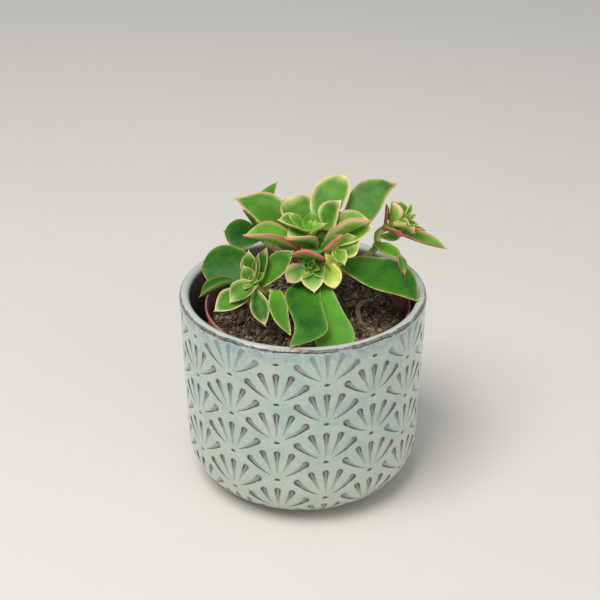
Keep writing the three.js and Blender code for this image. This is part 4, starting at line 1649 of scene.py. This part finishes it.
@dataclass
class Plant:
    """The aeonium: its stems, five rosettes and the leaves that grow from the stems."""

    stem_leaf_up: Triple = (0.0, -0.2, 1.0)

    def stems(self) -> list[Stem]:
        """The stems, each from where it starts to where its leaves sit."""
        return [
            Stem("main_stem", ((2, 4, 86), (1, 6, 105), (3, 4, 122), (5, 1, 138)), 4.0, 7, (0.8, 0.2)),
            Stem("left_stem", ((-1, 5, 100), (-10, -4, 107), (-19, -11, 113), (-26, -14, 118)), 2.4),
            Stem("front_stem", ((2, 3, 113), (3, -7, 121), (4, -15, 127), (4, -19, 130)), 2.0),
            Stem("gold_stem", ((5, 3, 116), (11, -5, 125), (16, -11, 130), (17, -13, 132)), 1.8),
            Stem("right_stem",
                ((4, 6, 108), (20, 4, 117), (31, 5, 124), (38.6, 9, 129.4), (39.4, 11, 136), (45, 12, 140)),
                1.8, 7, (0.1, 0.0)),
            Stem("back_left_stem", ((0, 8, 110), (-12, 17, 122), (-22, 20, 130), (-25, 25, 138)), 1.9),
        ]

    def stalks(self) -> list[Stem]:
        """The stalks that join leaves to a stem further off, each run on into its leaf.

        Returns:
            The stalks.
        """
        paths = {
            "left_broad": ((-19.4, -10.6, 113.4), (-19.8, -6, 118), (-24, -1.6, 121.9)),
            "left_folded": ((-24.6, -13.4, 117), (-28.5, -9.4, 116.6), (-34.9, -6.6, 115.5)),
            "left_front": ((-18.6, -10.9, 112.8), (-16.6, -14.6, 115.6), (-13.5, -19.8, 116.2)),
            "right_broad": ((14.6, -9.6, 128.6), (16.6, -8.8, 128.2), (19.6, -8.2, 126.8)),
        }
        return [Stem(name + "_stalk", points, 1.2, 2, (0.3, 0.0), alone=False) for name,
            points in paths.items()]

    def root(self) -> Stem:
        """A bare root that arches out of the soil and back in."""
        return Stem("surface_root", ((38, 13, 93), (36, 9, 97), (30, 2, 98), (29, -5, 97.5), (31, -12, 93)),
            1.45, 5, (0.5, 0.5))

    def rosettes(self) -> list[Rosette]:
        """The rosettes: each one's heart, its leaves by name and any tucked leaves.

        Returns:
            The rosettes.
        """
        bud = (
            Leaf((4.4, -2.0, 142.6), (4.6, -0.2, 153.2), 12.4, face=(0, -1, 0.25), bend=-18, cup=38,
                blunt=0.5, thickness=1.7, rim=0.7, mucro=0.4, dress=YOUNG),
            Leaf((3.6, -3.0, 143.0), (4.0, -2.4, 149.8), 5.0, face=(-0.2, -1, 0.2), bend=22, cup=-30,
                mucro=0.4, wave=0.1, dress=YOUNG),
            Leaf((6.2, -2.8, 143.0), (6.4, -1.8, 149.2), 4.8, face=(0.4, -0.9, 0.2), bend=18, cup=-25,
                mucro=0.4, wave=0.1, dress=YOUNG),
            Leaf((0.2, -1.0, 143.2), (-7.0, -2.4, 152.4), 8.4, face=(0.5, -0.5, 0.7), bend=8, cup=38,
                blunt=0.5, rim=0.7, mucro=0.6, dress=Dress(0.62, (0.7, 0.8), (0.0, 0.3))),
        )
        main = Rosette("main", Heart((6, 0, 146), (0.05, -0.15, 1), 6.0, 4.5, 4, 60, 40, YOUNG, bud), {
            "back_low": Leaf((3, 6, 134), (-5, 33, 142), 22, bend=20, cup=20, dress=EMERALD),
            "back_low_right": Leaf((7, 3.6, 131.6), (27, 30, 138), 22, bend=20, cup=20, dress=EMERALD),
            "back": Leaf((7, 4, 142), (22, 22, 164.5), 22, bend=20, cup=24, blunt=0.3, rim=0.6, mucro=0.6,
                dress=Dress(0.38, (1.0, 2.1), (0.55, 0.7), 0.0)),
            "right_back": Leaf((8, 2.4, 136.4), (48, 15, 161.5), 26, roll=22, bend=15, cup=14, rim=0.6,
                dress=Dress(0.22, (0.2, 0.9), (0.7, 0.6), 0.55), edges=(
                (0, 4, 2), (0.2, 8.5, 2), (0.36, 11, 3), (0.48, 11.6, 6.8), (0.58, 11, 10.6),
                (0.71, 8.4, 12.2), (0.83, 4, 10.2), (0.93, 1.4, 6.4), (0.98, 0.6, 2.6), (1.02, -0.2, 0.8))),
            "left_back": Leaf((-1, 3, 133), (-35, 12, 155), 22, roll=-20, bend=25, cup=18, rim=0.7,
                thickness=2.2, dress=Dress(0.3, (0.6, 1.2), (0.7, 0.9), 0.3, lean=-0.4), edges=(
                (0, 4, 4), (0.2, 8, 7), (0.4, 12, 7.8), (0.55, 14, 7), (0.68, 13.4, 5.7), (0.8, 10.2, 4.4),
                (0.9, 5.6, 2.4), (0.97, 2.2, 0.7), (1.03, 0.9, -0.5))),
            "left": Leaf((0, -4, 133), (-29, -8, 144), 21, roll=5, bend=25, cup=47, rim=0.95, thickness=3.0,
                taper=0.25, mucro=1.6, dress=Dress(0.75, (0.9, 1.6), (1.0, 1.1), 1.0, fade=(1.0, 0.4))),
            "front": Leaf((4, -4, 129), (2, -30, 146.0), 17.5, bend=-5, cup=-12, widest=0.66, blunt=0.8,
                thickness=3.0, rim=0.95, taper=0.05, mucro=0.2,
                dress=Dress(0.25, (0.3, 1.0), (0.9, 1.2), 0.75)),
            "front_middle": Leaf((5, -5, 134), (8, -20, 140), 16, bend=10, cup=15, rim=0.8, thickness=2.4,
                taper=0.2, dress=Dress(0.25, (0.1, 0.5), (0.0, 0.3), 0.4)),
            "front_right": Leaf((8, -10, 133.5), (19.6, -18, 148.6), 16, face=(-0.44, -0.08, 0.69), bend=18,
                cup=8, rim=0.95, thickness=3.3, taper=0.35,
                dress=Dress(0.2, (0.1, 1.0), (0.9, 1.5), 0.6, lean=1), edges=(
                (0, 4, 5), (0.3, 4.4, 5), (0.6, 3.6, 4), (0.85, 2.2, 2.4), (0.97, 1, 1.2), (1.03, 0.2, 0.3))),
            "right": Leaf((11.6, -3.6, 137.4), (33.6, -5, 150.6), 25, face=(-0.13, 0.07, 1), bend=8, cup=53,
                widest=0.6, blunt=0.3, rim=0.95, thickness=2.6, taper=0.3, neck=0.15,
                dress=Dress(0.65, (1.0, 2.4), (0.7, 0.8), 0.0)),
            "upper_left": Leaf((1, 3, 143.4), (-8.5, 10.6, 156.4), 24, bend=5, cup=22, blunt=0.9, rim=0.6,
                mucro=0.2, dress=Dress(0.38, (1.0, 2.0), (0.5, 0.7), 0.0)),
            "upper_right": Leaf((13, 1, 142), (19.3, 5, 157.4), 15, face=(-0.45, -0.8, 0.4), bend=8, cup=16,
                rim=0.8, dress=Dress(0.3, (1.0, 1.5), (0.6, 0.7), 0.0, lean=0.5), edges=(
                (0, 3, 3), (0.2, 3.6, 6), (0.45, 3.2, 9), (0.65, 2.6, 8.8), (0.8, 2.1, 6.8), (0.92, 1.3, 3.4),
                (1.0, 0.5, 0.7), (1.04, 0.1, 0.1))),
            "inner_left": Leaf((3, -1, 143), (-12, -8, 152.4), 15, roll=-5, bend=5, cup=30, rim=0.8,
                thickness=2.2, mucro=1.4, dress=Dress(0.5, (1.0, 1.3), (0.3, 0.5), 0.0)),
            "inner_front": Leaf((6, -4, 136), (-7.6, -13, 145), 21, roll=10, bend=28, cup=34, blunt=0.3,
                rim=0.9, thickness=2.8, taper=0.1, mucro=2.2, neck=0.08,
                dress=Dress(0.75, (1.0, 2.8), (0.7, 0.8), 0.1)),
            "inner_spiky": Leaf((2.6, -3.6, 141.6), (11.4, -5.8, 149.2), 7.4, face=(-0.35, -0.35, 0.85),
                bend=10, cup=50, rim=0.8, widest=0.5, mucro=1.8,
                dress=Dress(0.75, (0.9, 1.2), (0.5, 0.6), 0.05)),
        }, Slot.INNER_LEAF, (
            Leaf((10, -4.6, 135), (36, -5.6, 147.2), 13, face=(-0.1, -0.45, 0.9), bend=8, cup=24, rim=0.8,
                dress=Dress(0.6, (1.0, 1.3), (0.2, 0.5), 0.0)),
        ))
        gold = Rosette("gold",
            Heart((15.4, -15.4, 135), (0.2, -0.6, 0.75), 6.2, 6.0, 4, 20, 44,
                  Dress(0.75, (0.6, 0.7), (0.0, 0.3), 0.0)), {
            "right": Leaf((17, -11.5, 134.5), (28.2, -8, 142.6), 16.5, face=(0.1, -0.6, 0.8), bend=10, cup=28,
                widest=0.5, rim=0.6, mucro=0.6, dress=Dress(0.12, (0.9, 2.2), (0.1, 0.3), 0.0)),
            "lower_right": Leaf((15.2, -14.4, 138.4), (20.9, -19.6, 133.2), 10.5, face=(0.4, -0.5, 0.8),
                bend=12, cup=34, widest=0.45, rim=0.7, mucro=0.6,
                dress=Dress(0.35, (0.9, 1.1), (0.1, 0.3), 0.0)),
            "lower": Leaf((12.6, -16, 132.6), (15.9, -28, 124.2), 13, face=(-0.05, -0.72, 0.7), bend=14,
                cup=38, widest=0.62, blunt=0.8, rim=0.8, mucro=0.2,
                dress=Dress(0.62, (1.0, 2.4), (0.7, 0.6), 0.1, lean=0.6)),
        }, Slot.GOLD_LEAF, (
            Leaf((14.6, -16.6, 129.6), (11.3, -20, 139.4), 9, face=(0.5, -0.8, 0.3), bend=8, cup=54,
                blunt=0.4, rim=0.9, dress=Dress(0.85, (1.0, 1.8), (0.15, 0.3), 0.0)),
            Leaf((13.4, -14.6, 134), (13.6, -14.4, 141), 8.5, face=(0.1, -0.9, 0.4), bend=8, cup=46,
                blunt=0.4, rim=0.8, dress=Dress(0.7, (1.0, 1.1), (0.1, 0.3), 0.0)),
        ))
        front = Rosette("front",
            Heart((3.4, -20.6, 132.2), (0.05, -0.65, 0.75), 8.2, 7.8, 8, 0, 58,
                  Dress(0.8, (0.4, 0.5), (0.0, 0.3))), {
            "left": Leaf((0.6, -20, 133.2), (-7.6, -25.6, 126.6), 11.5, bend=15, cup=30, blunt=0.5,
                dress=Dress(0.28, (0.6, 2.2), (0.38, 2.0), 0.15)),
            "lower": Leaf((4.1, -21.6, 131), (5.6, -31, 123.6), 12.5, bend=10, cup=22, widest=0.42, mucro=0.7,
                dress=Dress(0.55, (1.0, 1.9), (0.0, 0.3))),
            "right": Leaf((6, -20, 131), (10, -27, 130), 8, bend=10, cup=34,
                dress=Dress(0.35, (0.8, 0.7), (0.1, 0.3))),
        }, Slot.INNER_LEAF)
        tucked = (Leaf((-24.6, -17, 119.6), (-31.6, -21.2, 117.6), 6.6, bend=10, cup=52, rim=0.8, wave=0.1,
            dress=PALE_EDGED),)
        left = Rosette("left",
            Heart((-26, -15, 121), (-0.15, -0.55, 0.85), 8.2, 6.4, 9, 0, 56,
                  Dress(0.62, (0.8, 0.5), (0.0, 0.3)), tucked), {
            "upper_right": Leaf((-21, -13, 118), (-5, -12, 137), 14, bend=15, cup=22, rim=0.6,
                dress=Dress(0.3, (0.9, 0.6), (0.1, 0.4), 0.1)),
            "upright": Leaf((-21.6, -12.6, 119.6), (-18.4, -8.4, 137.4), 13, bend=5, cup=64, rim=0.95,
                thickness=2.4, taper=0.3, dress=Dress(0.25, (1.0, 1.9), (0.2, 0.5), 0.0)),
            "upper_left": Leaf((-26.4, -12, 120), (-27.6, -9, 135.6), 11.5, bend=5, cup=42, rim=0.8,
                dress=Dress(0.2, (1.0, 1.6), (0.15, 0.4), 0.0)),
            "inner": Leaf((-26.6, -14, 120), (-30, -14.6, 130), 10.5, bend=5, cup=42, rim=0.8,
                dress=Dress(0.4, (1.0, 1.5), (0.0, 0.3))),
            "lower_left": Leaf((-23.6, -16, 120.4), (-36.7, -26, 115.3), 16, bend=5, cup=44, rim=0.9,
                thickness=2.2, dress=Dress(0.3, (1.0, 1.8), (0.1, 0.3))),
            "lowest": Leaf((-25, -16, 116.6), (-44.4, -28, 111.3), 15, bend=10, cup=28, rim=0.7,
                dress=PALE_EDGED),
            "lower": Leaf((-24, -18, 117), (-19, -35, 107), 13, bend=10, cup=42, rim=0.9,
                dress=Dress(0.15, (1.0, 1.6), (0.15, 0.4), 0.0)),
        }, Slot.INNER_LEAF, (
            Leaf((-24.4, -13.4, 120), (-22.6, -11.6, 135), 9, face=(-0.1, -0.8, 0.5), bend=5, cup=64, rim=0.9,
                dress=Dress(0.3, (1.0, 1.6), (0.1, 0.3))),
        ))
        behind = (Leaf((50.4, 13.6, 143.6), (50.8, 15.6, 152.2), 8, face=(0.3, -0.8, 0.4), bend=10, cup=20,
            mucro=0.3, dress=Dress(0.3, (0.3, 0.6), (0.1, 0.3))),
                  Leaf((56.4, 9.6, 140), (63.4, 8, 139.2), 3, bend=10, cup=30, mucro=0.6,
                      dress=Dress(0.4, (0.4, 0.6), (0.9, 0.9), 0.5)))
        right = Rosette("right",
            Heart((53.0, 11, 143.6), (0.85, -0.25, 0.5), 10.0, 6.8, 8, 0, 54,
                  Dress(0.7, (0.8, 0.6), (0.3, 0.4), 0.1), behind), {
            "top": Leaf((46.0, 12, 140), (47.0, 13.6, 153.4), 15, face=(0.92, 0.1, 0.2), bend=-10, cup=58,
                blunt=0.5, rim=0.95, thickness=2.8, taper=0.2, mucro=0.3,
                dress=Dress(0.7, (1.0, 1.5), (0.5, 0.9), 0.1)),
            "edge_on": Leaf((42.8, 12, 140), (43.4, 12.4, 151.4), 5, face=(0.9, -0.3, 0.2), bend=5, cup=40,
                rim=0.9, taper=0.2, thickness=1.5, dress=Dress(0.4, (0.3, 0.8), (0.9, 1.2), 0.8)),
            "front": Leaf((46.8, 8.4, 142.6), (57.6, 6, 139), 13.5, face=(0.35, -0.05, 0.9), bend=22, cup=52,
                blunt=0.4, rim=0.85, thickness=2.6, taper=0.2, mucro=0.8, neck=0.1,
                dress=Dress(0.7, (1.0, 1.3), (0.55, 0.8), 0.1)),
            "low": Leaf((41.6, 9, 140.8), (51, 5, 137.8), 11, bend=18, cup=34, rim=0.95, thickness=2.6,
                taper=0.1, dress=Dress(0.4, (0.3, 0.8), (0.9, 1.5), 0.85)),
            "long": Leaf((45, 11.6, 138.6), (75, 8, 128.8), 13.5, roll=-10, bend=-5, cup=25, mucro=0.4,
                rim=0.8, dress=Dress(0.5, (0.4, 1.2), (0.9, 1.0), 0.85, lean=0.4)),
            "small_low": Leaf((40.2, 11.6, 134), (51.0, 13, 132.6), 5.8, face=(0.1, -0.75, 0.6), bend=12,
                cup=34, rim=0.7, mucro=0.4, dress=Dress(0.5, (0.4, 0.9), (0.1, 0.4), 0.3)),
        }, Slot.INNER_LEAF, (
            Leaf((49.2, -7.8, 133), (51.7, -15, 125.6), 9.5, face=(0.1, -0.8, 0.6), bend=-20, cup=66,
                blunt=0.2, rim=0.95, thickness=3.0, dress=Dress(0.3, (0.8, 1.0), (1.0, 1.3), 0.4)),
        ))
        return [main, gold, front, left, right]

    def stem_leaves(self) -> dict[str, Leaf]:
        """The leaves that grow straight from a stem."""
        return {
            "left_broad": Leaf((-22, -2, 122), (-53, 4, 120), 24, roll=-40, bend=25, cup=20, blunt=0.4,
                mucro=0.6, dress=Dress(0.2, (0.3, 0.6), (0.5, 0.5), 0.05)),
            "left_folded": Leaf((-33, -6, 116), (-53, -12, 111), 15, bend=20, cup=64, rim=0.8, thickness=2.2,
                dress=Dress(0.42, (0.6, 0.8), (0.6, 0.7), 0.25)),
            "back_left_round": Leaf((-22.4, 18.6, 130.6), (-41.5, 20, 133), 16.5, roll=-55, bend=10, cup=15,
                blunt=0.6, dress=Dress(0.2, (0.1, 0.6), (0.6, 0.5), 0.4)),
            "back_left_narrow": Leaf((-23, 19.9, 132), (-31, 16, 147), 8, roll=20, bend=10, cup=30,
                dress=EMERALD),
            "back_spike": Leaf((-25, 25, 138), (-14, 34, 155), 9, bend=20, cup=20,
                dress=Dress(0.4, (0.2, 0.6), (0.3, 0.4), 0.3)),
            "back_middle": Leaf((2, 7, 115), (12, 42, 117), 22, bend=25, cup=15, dress=EMERALD),
            "left_front": Leaf((-14, -18, 117), (-7, -43, 105.5), 13, bend=15, cup=20, rim=0.6,
                dress=Dress(0.55, (0.9, 0.6), (0.15, 0.4), 0.0), edges=(
                (0, 2.4, 2.4), (0.1, 4.2, 3.4), (0.35, 6.4, 3.9), (0.6, 5.8, 2.9), (0.8, 3.7, 2.1),
                (0.92, 1.2, 1.6), (1.0, -0.6, 1.1))),
            "right_curled": Leaf((38, 8, 131), (50.5, -8, 130.7), 8.5, roll=10, bend=10, cup=30, rim=0.8,
                thickness=2.8, neck=0.5, dress=Dress(0.6, (0.5, 0.8), (0.4, 0.6), 0.3)),
            "right_broad": Leaf((18, -8, 127), (59, -14, 111.5), 24, roll=20, bend=12, cup=15, rim=0.5,
                dress=Dress(0.28, (0.5, 0.7), (0.6, 0.6), 0.15, lean=-0.5), edges=(
                (0, 1.6, 3), (0.1, 3.2, 6.4), (0.2, 5, 9), (0.35, 6.8, 11.3), (0.53, 7, 13.4), (0.7, 6, 14.4),
                (0.83, 4.8, 12.8), (0.93, 3.6, 7.8), (0.99, 2.6, 1.6), (1.03, 1.6, -1.3))),
            "hanging_dark": Leaf((4, -15, 124), (4, -61, 111.8), 20, bend=15, cup=10, rim=0.45,
                dress=Dress(0.2, (0.32, 0.5), (0.2, 0.4), 0.0), edges=(
                (0, 3, 3.6), (0.1, 6, 4.6), (0.22, 11.2, 5), (0.33, 13.2, 5.1), (0.46, 12.7, 5.6),
                (0.6, 10.6, 6.5), (0.72, 8.7, 7.7), (0.82, 8.2, 8.3), (0.9, 8.7, 6.4), (0.97, 9.7, 1.2),
                (1.02, 10.4, -5), (1.05, 10.6, -10.2))),
            "hanging_light": Leaf((8, -14, 126), (19, -54, 105), 21, bend=25, cup=10, rim=0.45,
                dress=Dress(0.66, (0.35, 0.6), (0.0, 0.3)), edges=(
                (0, 2.5, 2.5), (0.2, 4, 3.3), (0.4, 6, 4.1), (0.6, 9, 5.6), (0.78, 11.6, 7.6),
                (0.9, 12.8, 7.8), (0.98, 11, 5.4), (1.03, 6, 0.5), (1.045, 2, -1.6))),
        }

    def build(self, finishes: dict[Slot, bpy.types.Material]) -> None:
        """Makes the whole plant.

        Args:
            finishes: Materials by slot.
        """
        for stem in self.stems() + self.stalks():
            stem.build(Slot.STEM, finishes[Slot.STEM])
        self.root().build(Slot.ROOT, finishes[Slot.ROOT])
        for rosette in self.rosettes():
            rosette.build(finishes)
        for number, (name, leaf) in enumerate(self.stem_leaves().items()):
            node = name + "_leaf"
            skin = leaf.skin(self.stem_leaf_up, STEM_LEAF_SEED + number)
            skin.piece(node + "_blade", Slot.OUTER_LEAF, finishes[Slot.OUTER_LEAF], node)


# --- The studio ---------------------------------------------------------------------------


@dataclass
class Studio:
    """A pale floor, soft light, and a camera placed by the cover pot's size.

    Attributes:
        floor_tone: Main colour of the floor.
        floor_shade: Colour of its faint clouds.
        floor_reach: Half the floor's side, in metres.
        lens: The camera's focal length, in millimetres.
        sensor: Width of its sensor, in millimetres.
        view_end: How far it sees, in metres.
        elevation: How far it looks down, in degrees.
        distance: How far it stands from what it looks at, in pot radii.
        aim_left: How far left of the pot's middle it looks, in pot radii.
        aim_drop: How far below the pot's top it looks, in pot radii.
        sky: Colour of the light from all round.
        sky_strength: Its strength.
    """

    floor_tone: tuple = tint(226, 222, 214)
    floor_shade: tuple = tint(214, 209, 200)
    floor_reach: float = 14.0
    lens: float = 72.0
    sensor: float = 36.0
    view_end: float = 20.0
    elevation: float = 28.46
    distance: float = 9.7611
    aim_left: float = 0.0225
    aim_drop: float = 0.116
    sky: tuple = (0.92, 0.96, 1.0, 1)
    sky_strength: float = 0.42

    def __post_init__(self) -> None:
        """Takes its scale from the cover pot."""
        low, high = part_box("cover_pot")
        self.radius, self.top = (high.x - low.x) / 2, high.z

    def camera(self) -> None:
        """Sets the camera on a line that looks down at the plant."""
        angle = math.radians(self.elevation)
        reach = self.distance * self.radius
        target = (-self.aim_left * self.radius, 0.0, self.top - self.aim_drop * self.radius)
        data = bpy.data.cameras.new("camera")
        data.lens, data.sensor_width = self.lens, self.sensor
        data.clip_end = self.view_end
        camera = bpy.data.objects.new("camera", data)
        camera.location = (target[0], target[1] - reach * math.cos(angle),
                           target[2] + reach * math.sin(angle))
        camera.rotation_euler = (math.pi / 2 - angle, 0, 0)
        bpy.context.scene.collection.objects.link(camera)
        bpy.context.scene.camera = camera

    def floor(self) -> None:
        """Lays the floor, with a faint cloudiness in its colour."""
        mesh = bpy.data.meshes.new("floor")
        reach = self.floor_reach
        corners = [(-reach, -reach, 0), (reach, -reach, 0), (reach, reach, 0), (-reach, reach, 0)]
        mesh.from_pydata(corners, [], [(0, 1, 2, 3)])
        material = bpy.data.materials.new("floor")
        material.use_nodes = True
        b = Bench(material.node_tree)
        shader = b.node("BsdfPrincipled")
        b.node("OutputMaterial", {}, Surface=shader.outputs[0])
        patch = b.noise(b.place(), 6.0, 3.0)
        tone = b.blend(b.math("MULTIPLY", patch, 0.3), self.floor_tone, self.floor_shade)
        b.feed(shader.inputs["Base Color"], tone)
        shader.inputs["Roughness"].default_value = 0.7
        mesh.materials.append(material)
        obj = bpy.data.objects.new("floor", mesh)
        bpy.context.scene.collection.objects.link(obj)

    def light(self, name: str, place: Triple, size: float, power: float, tone: Triple) -> None:
        """Adds a square light that looks at the pot.

        Args:
            name: Its name.
            place: Where it stands, in metres.
            size: Length of its side.
            power: Its power in watts.
            tone: Its colour.
        """
        data = bpy.data.lights.new(name, "AREA")
        data.shape, data.size, data.energy, data.color = "SQUARE", size, power, tone
        obj = bpy.data.objects.new(name, data)
        obj.location = place
        way = np.array([0, 0, self.top]) - np.array(place)
        tilt = math.atan2(math.hypot(way[0], way[1]), -way[2])
        obj.rotation_euler = (tilt, 0, math.atan2(way[1], way[0]) - math.pi / 2)
        bpy.context.scene.collection.objects.link(obj)

    def build(self) -> None:
        """Sets up camera, floor, world and lights."""
        self.camera()
        self.floor()
        world = bpy.data.worlds.new("studio")
        world.use_nodes = True
        back = world.node_tree.nodes["Background"]
        back.inputs["Color"].default_value = self.sky
        back.inputs["Strength"].default_value = self.sky_strength
        bpy.context.scene.world = world
        self.light("key", (-0.45, -0.55, 1.5), 0.9, 21.5, (1.0, 0.98, 0.95))
        self.light("fill", (1.2, -1.3, 0.8), 1.4, 4.8, (1.0, 0.94, 0.86))
        bpy.context.scene.view_settings.view_transform = "Standard"


def main() -> None:
    """Builds the studio, the pots, the soil and the plant."""
    Studio().build()
    cloud = cloud_group()
    bands = leaf_bands_group()
    pot = CoverPot()
    finishes = {
        Slot.GLAZE: GlazeFinish("celadon_glaze").build(cloud, pot.fans, pot.heights()),
        Slot.PLASTIC: PlasticFinish("nursery_plastic").build(cloud),
        Slot.SOIL: SoilFinish("peat").build(cloud),
        Slot.ROOT: BarkFinish("root_bark", tint(132, 121, 101), tint(152, 140, 116), tint(84, 74, 60), 0.75,
            0.3).build(cloud),
        Slot.STEM: BarkFinish("stem_skin").build(cloud),
        Slot.OUTER_LEAF: LeafFinish("outer_leaf").build(cloud, bands),
        Slot.INNER_LEAF: LeafFinish("inner_leaf", deep=tint(18, 90, 10), light=tint(134, 192, 62),
            cream=tint(230, 219, 160), coral=tint(236, 156, 130), magenta=tint(222, 60, 100),
            under=tint(122, 164, 60)).build(cloud, bands),
        Slot.GOLD_LEAF: LeafFinish("gold_leaf", deep=tint(52, 124, 12), light=tint(176, 208, 74),
            cream=tint(238, 230, 140), under=tint(140, 166, 60)).build(cloud, bands),
    }
    pot.build(finishes[Slot.GLAZE])
    NurseryPot().build(finishes[Slot.PLASTIC])
    Soil().build(finishes[Slot.SOIL])
    Plant().build(finishes)
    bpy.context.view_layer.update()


if __name__ == "__main__":
    main()
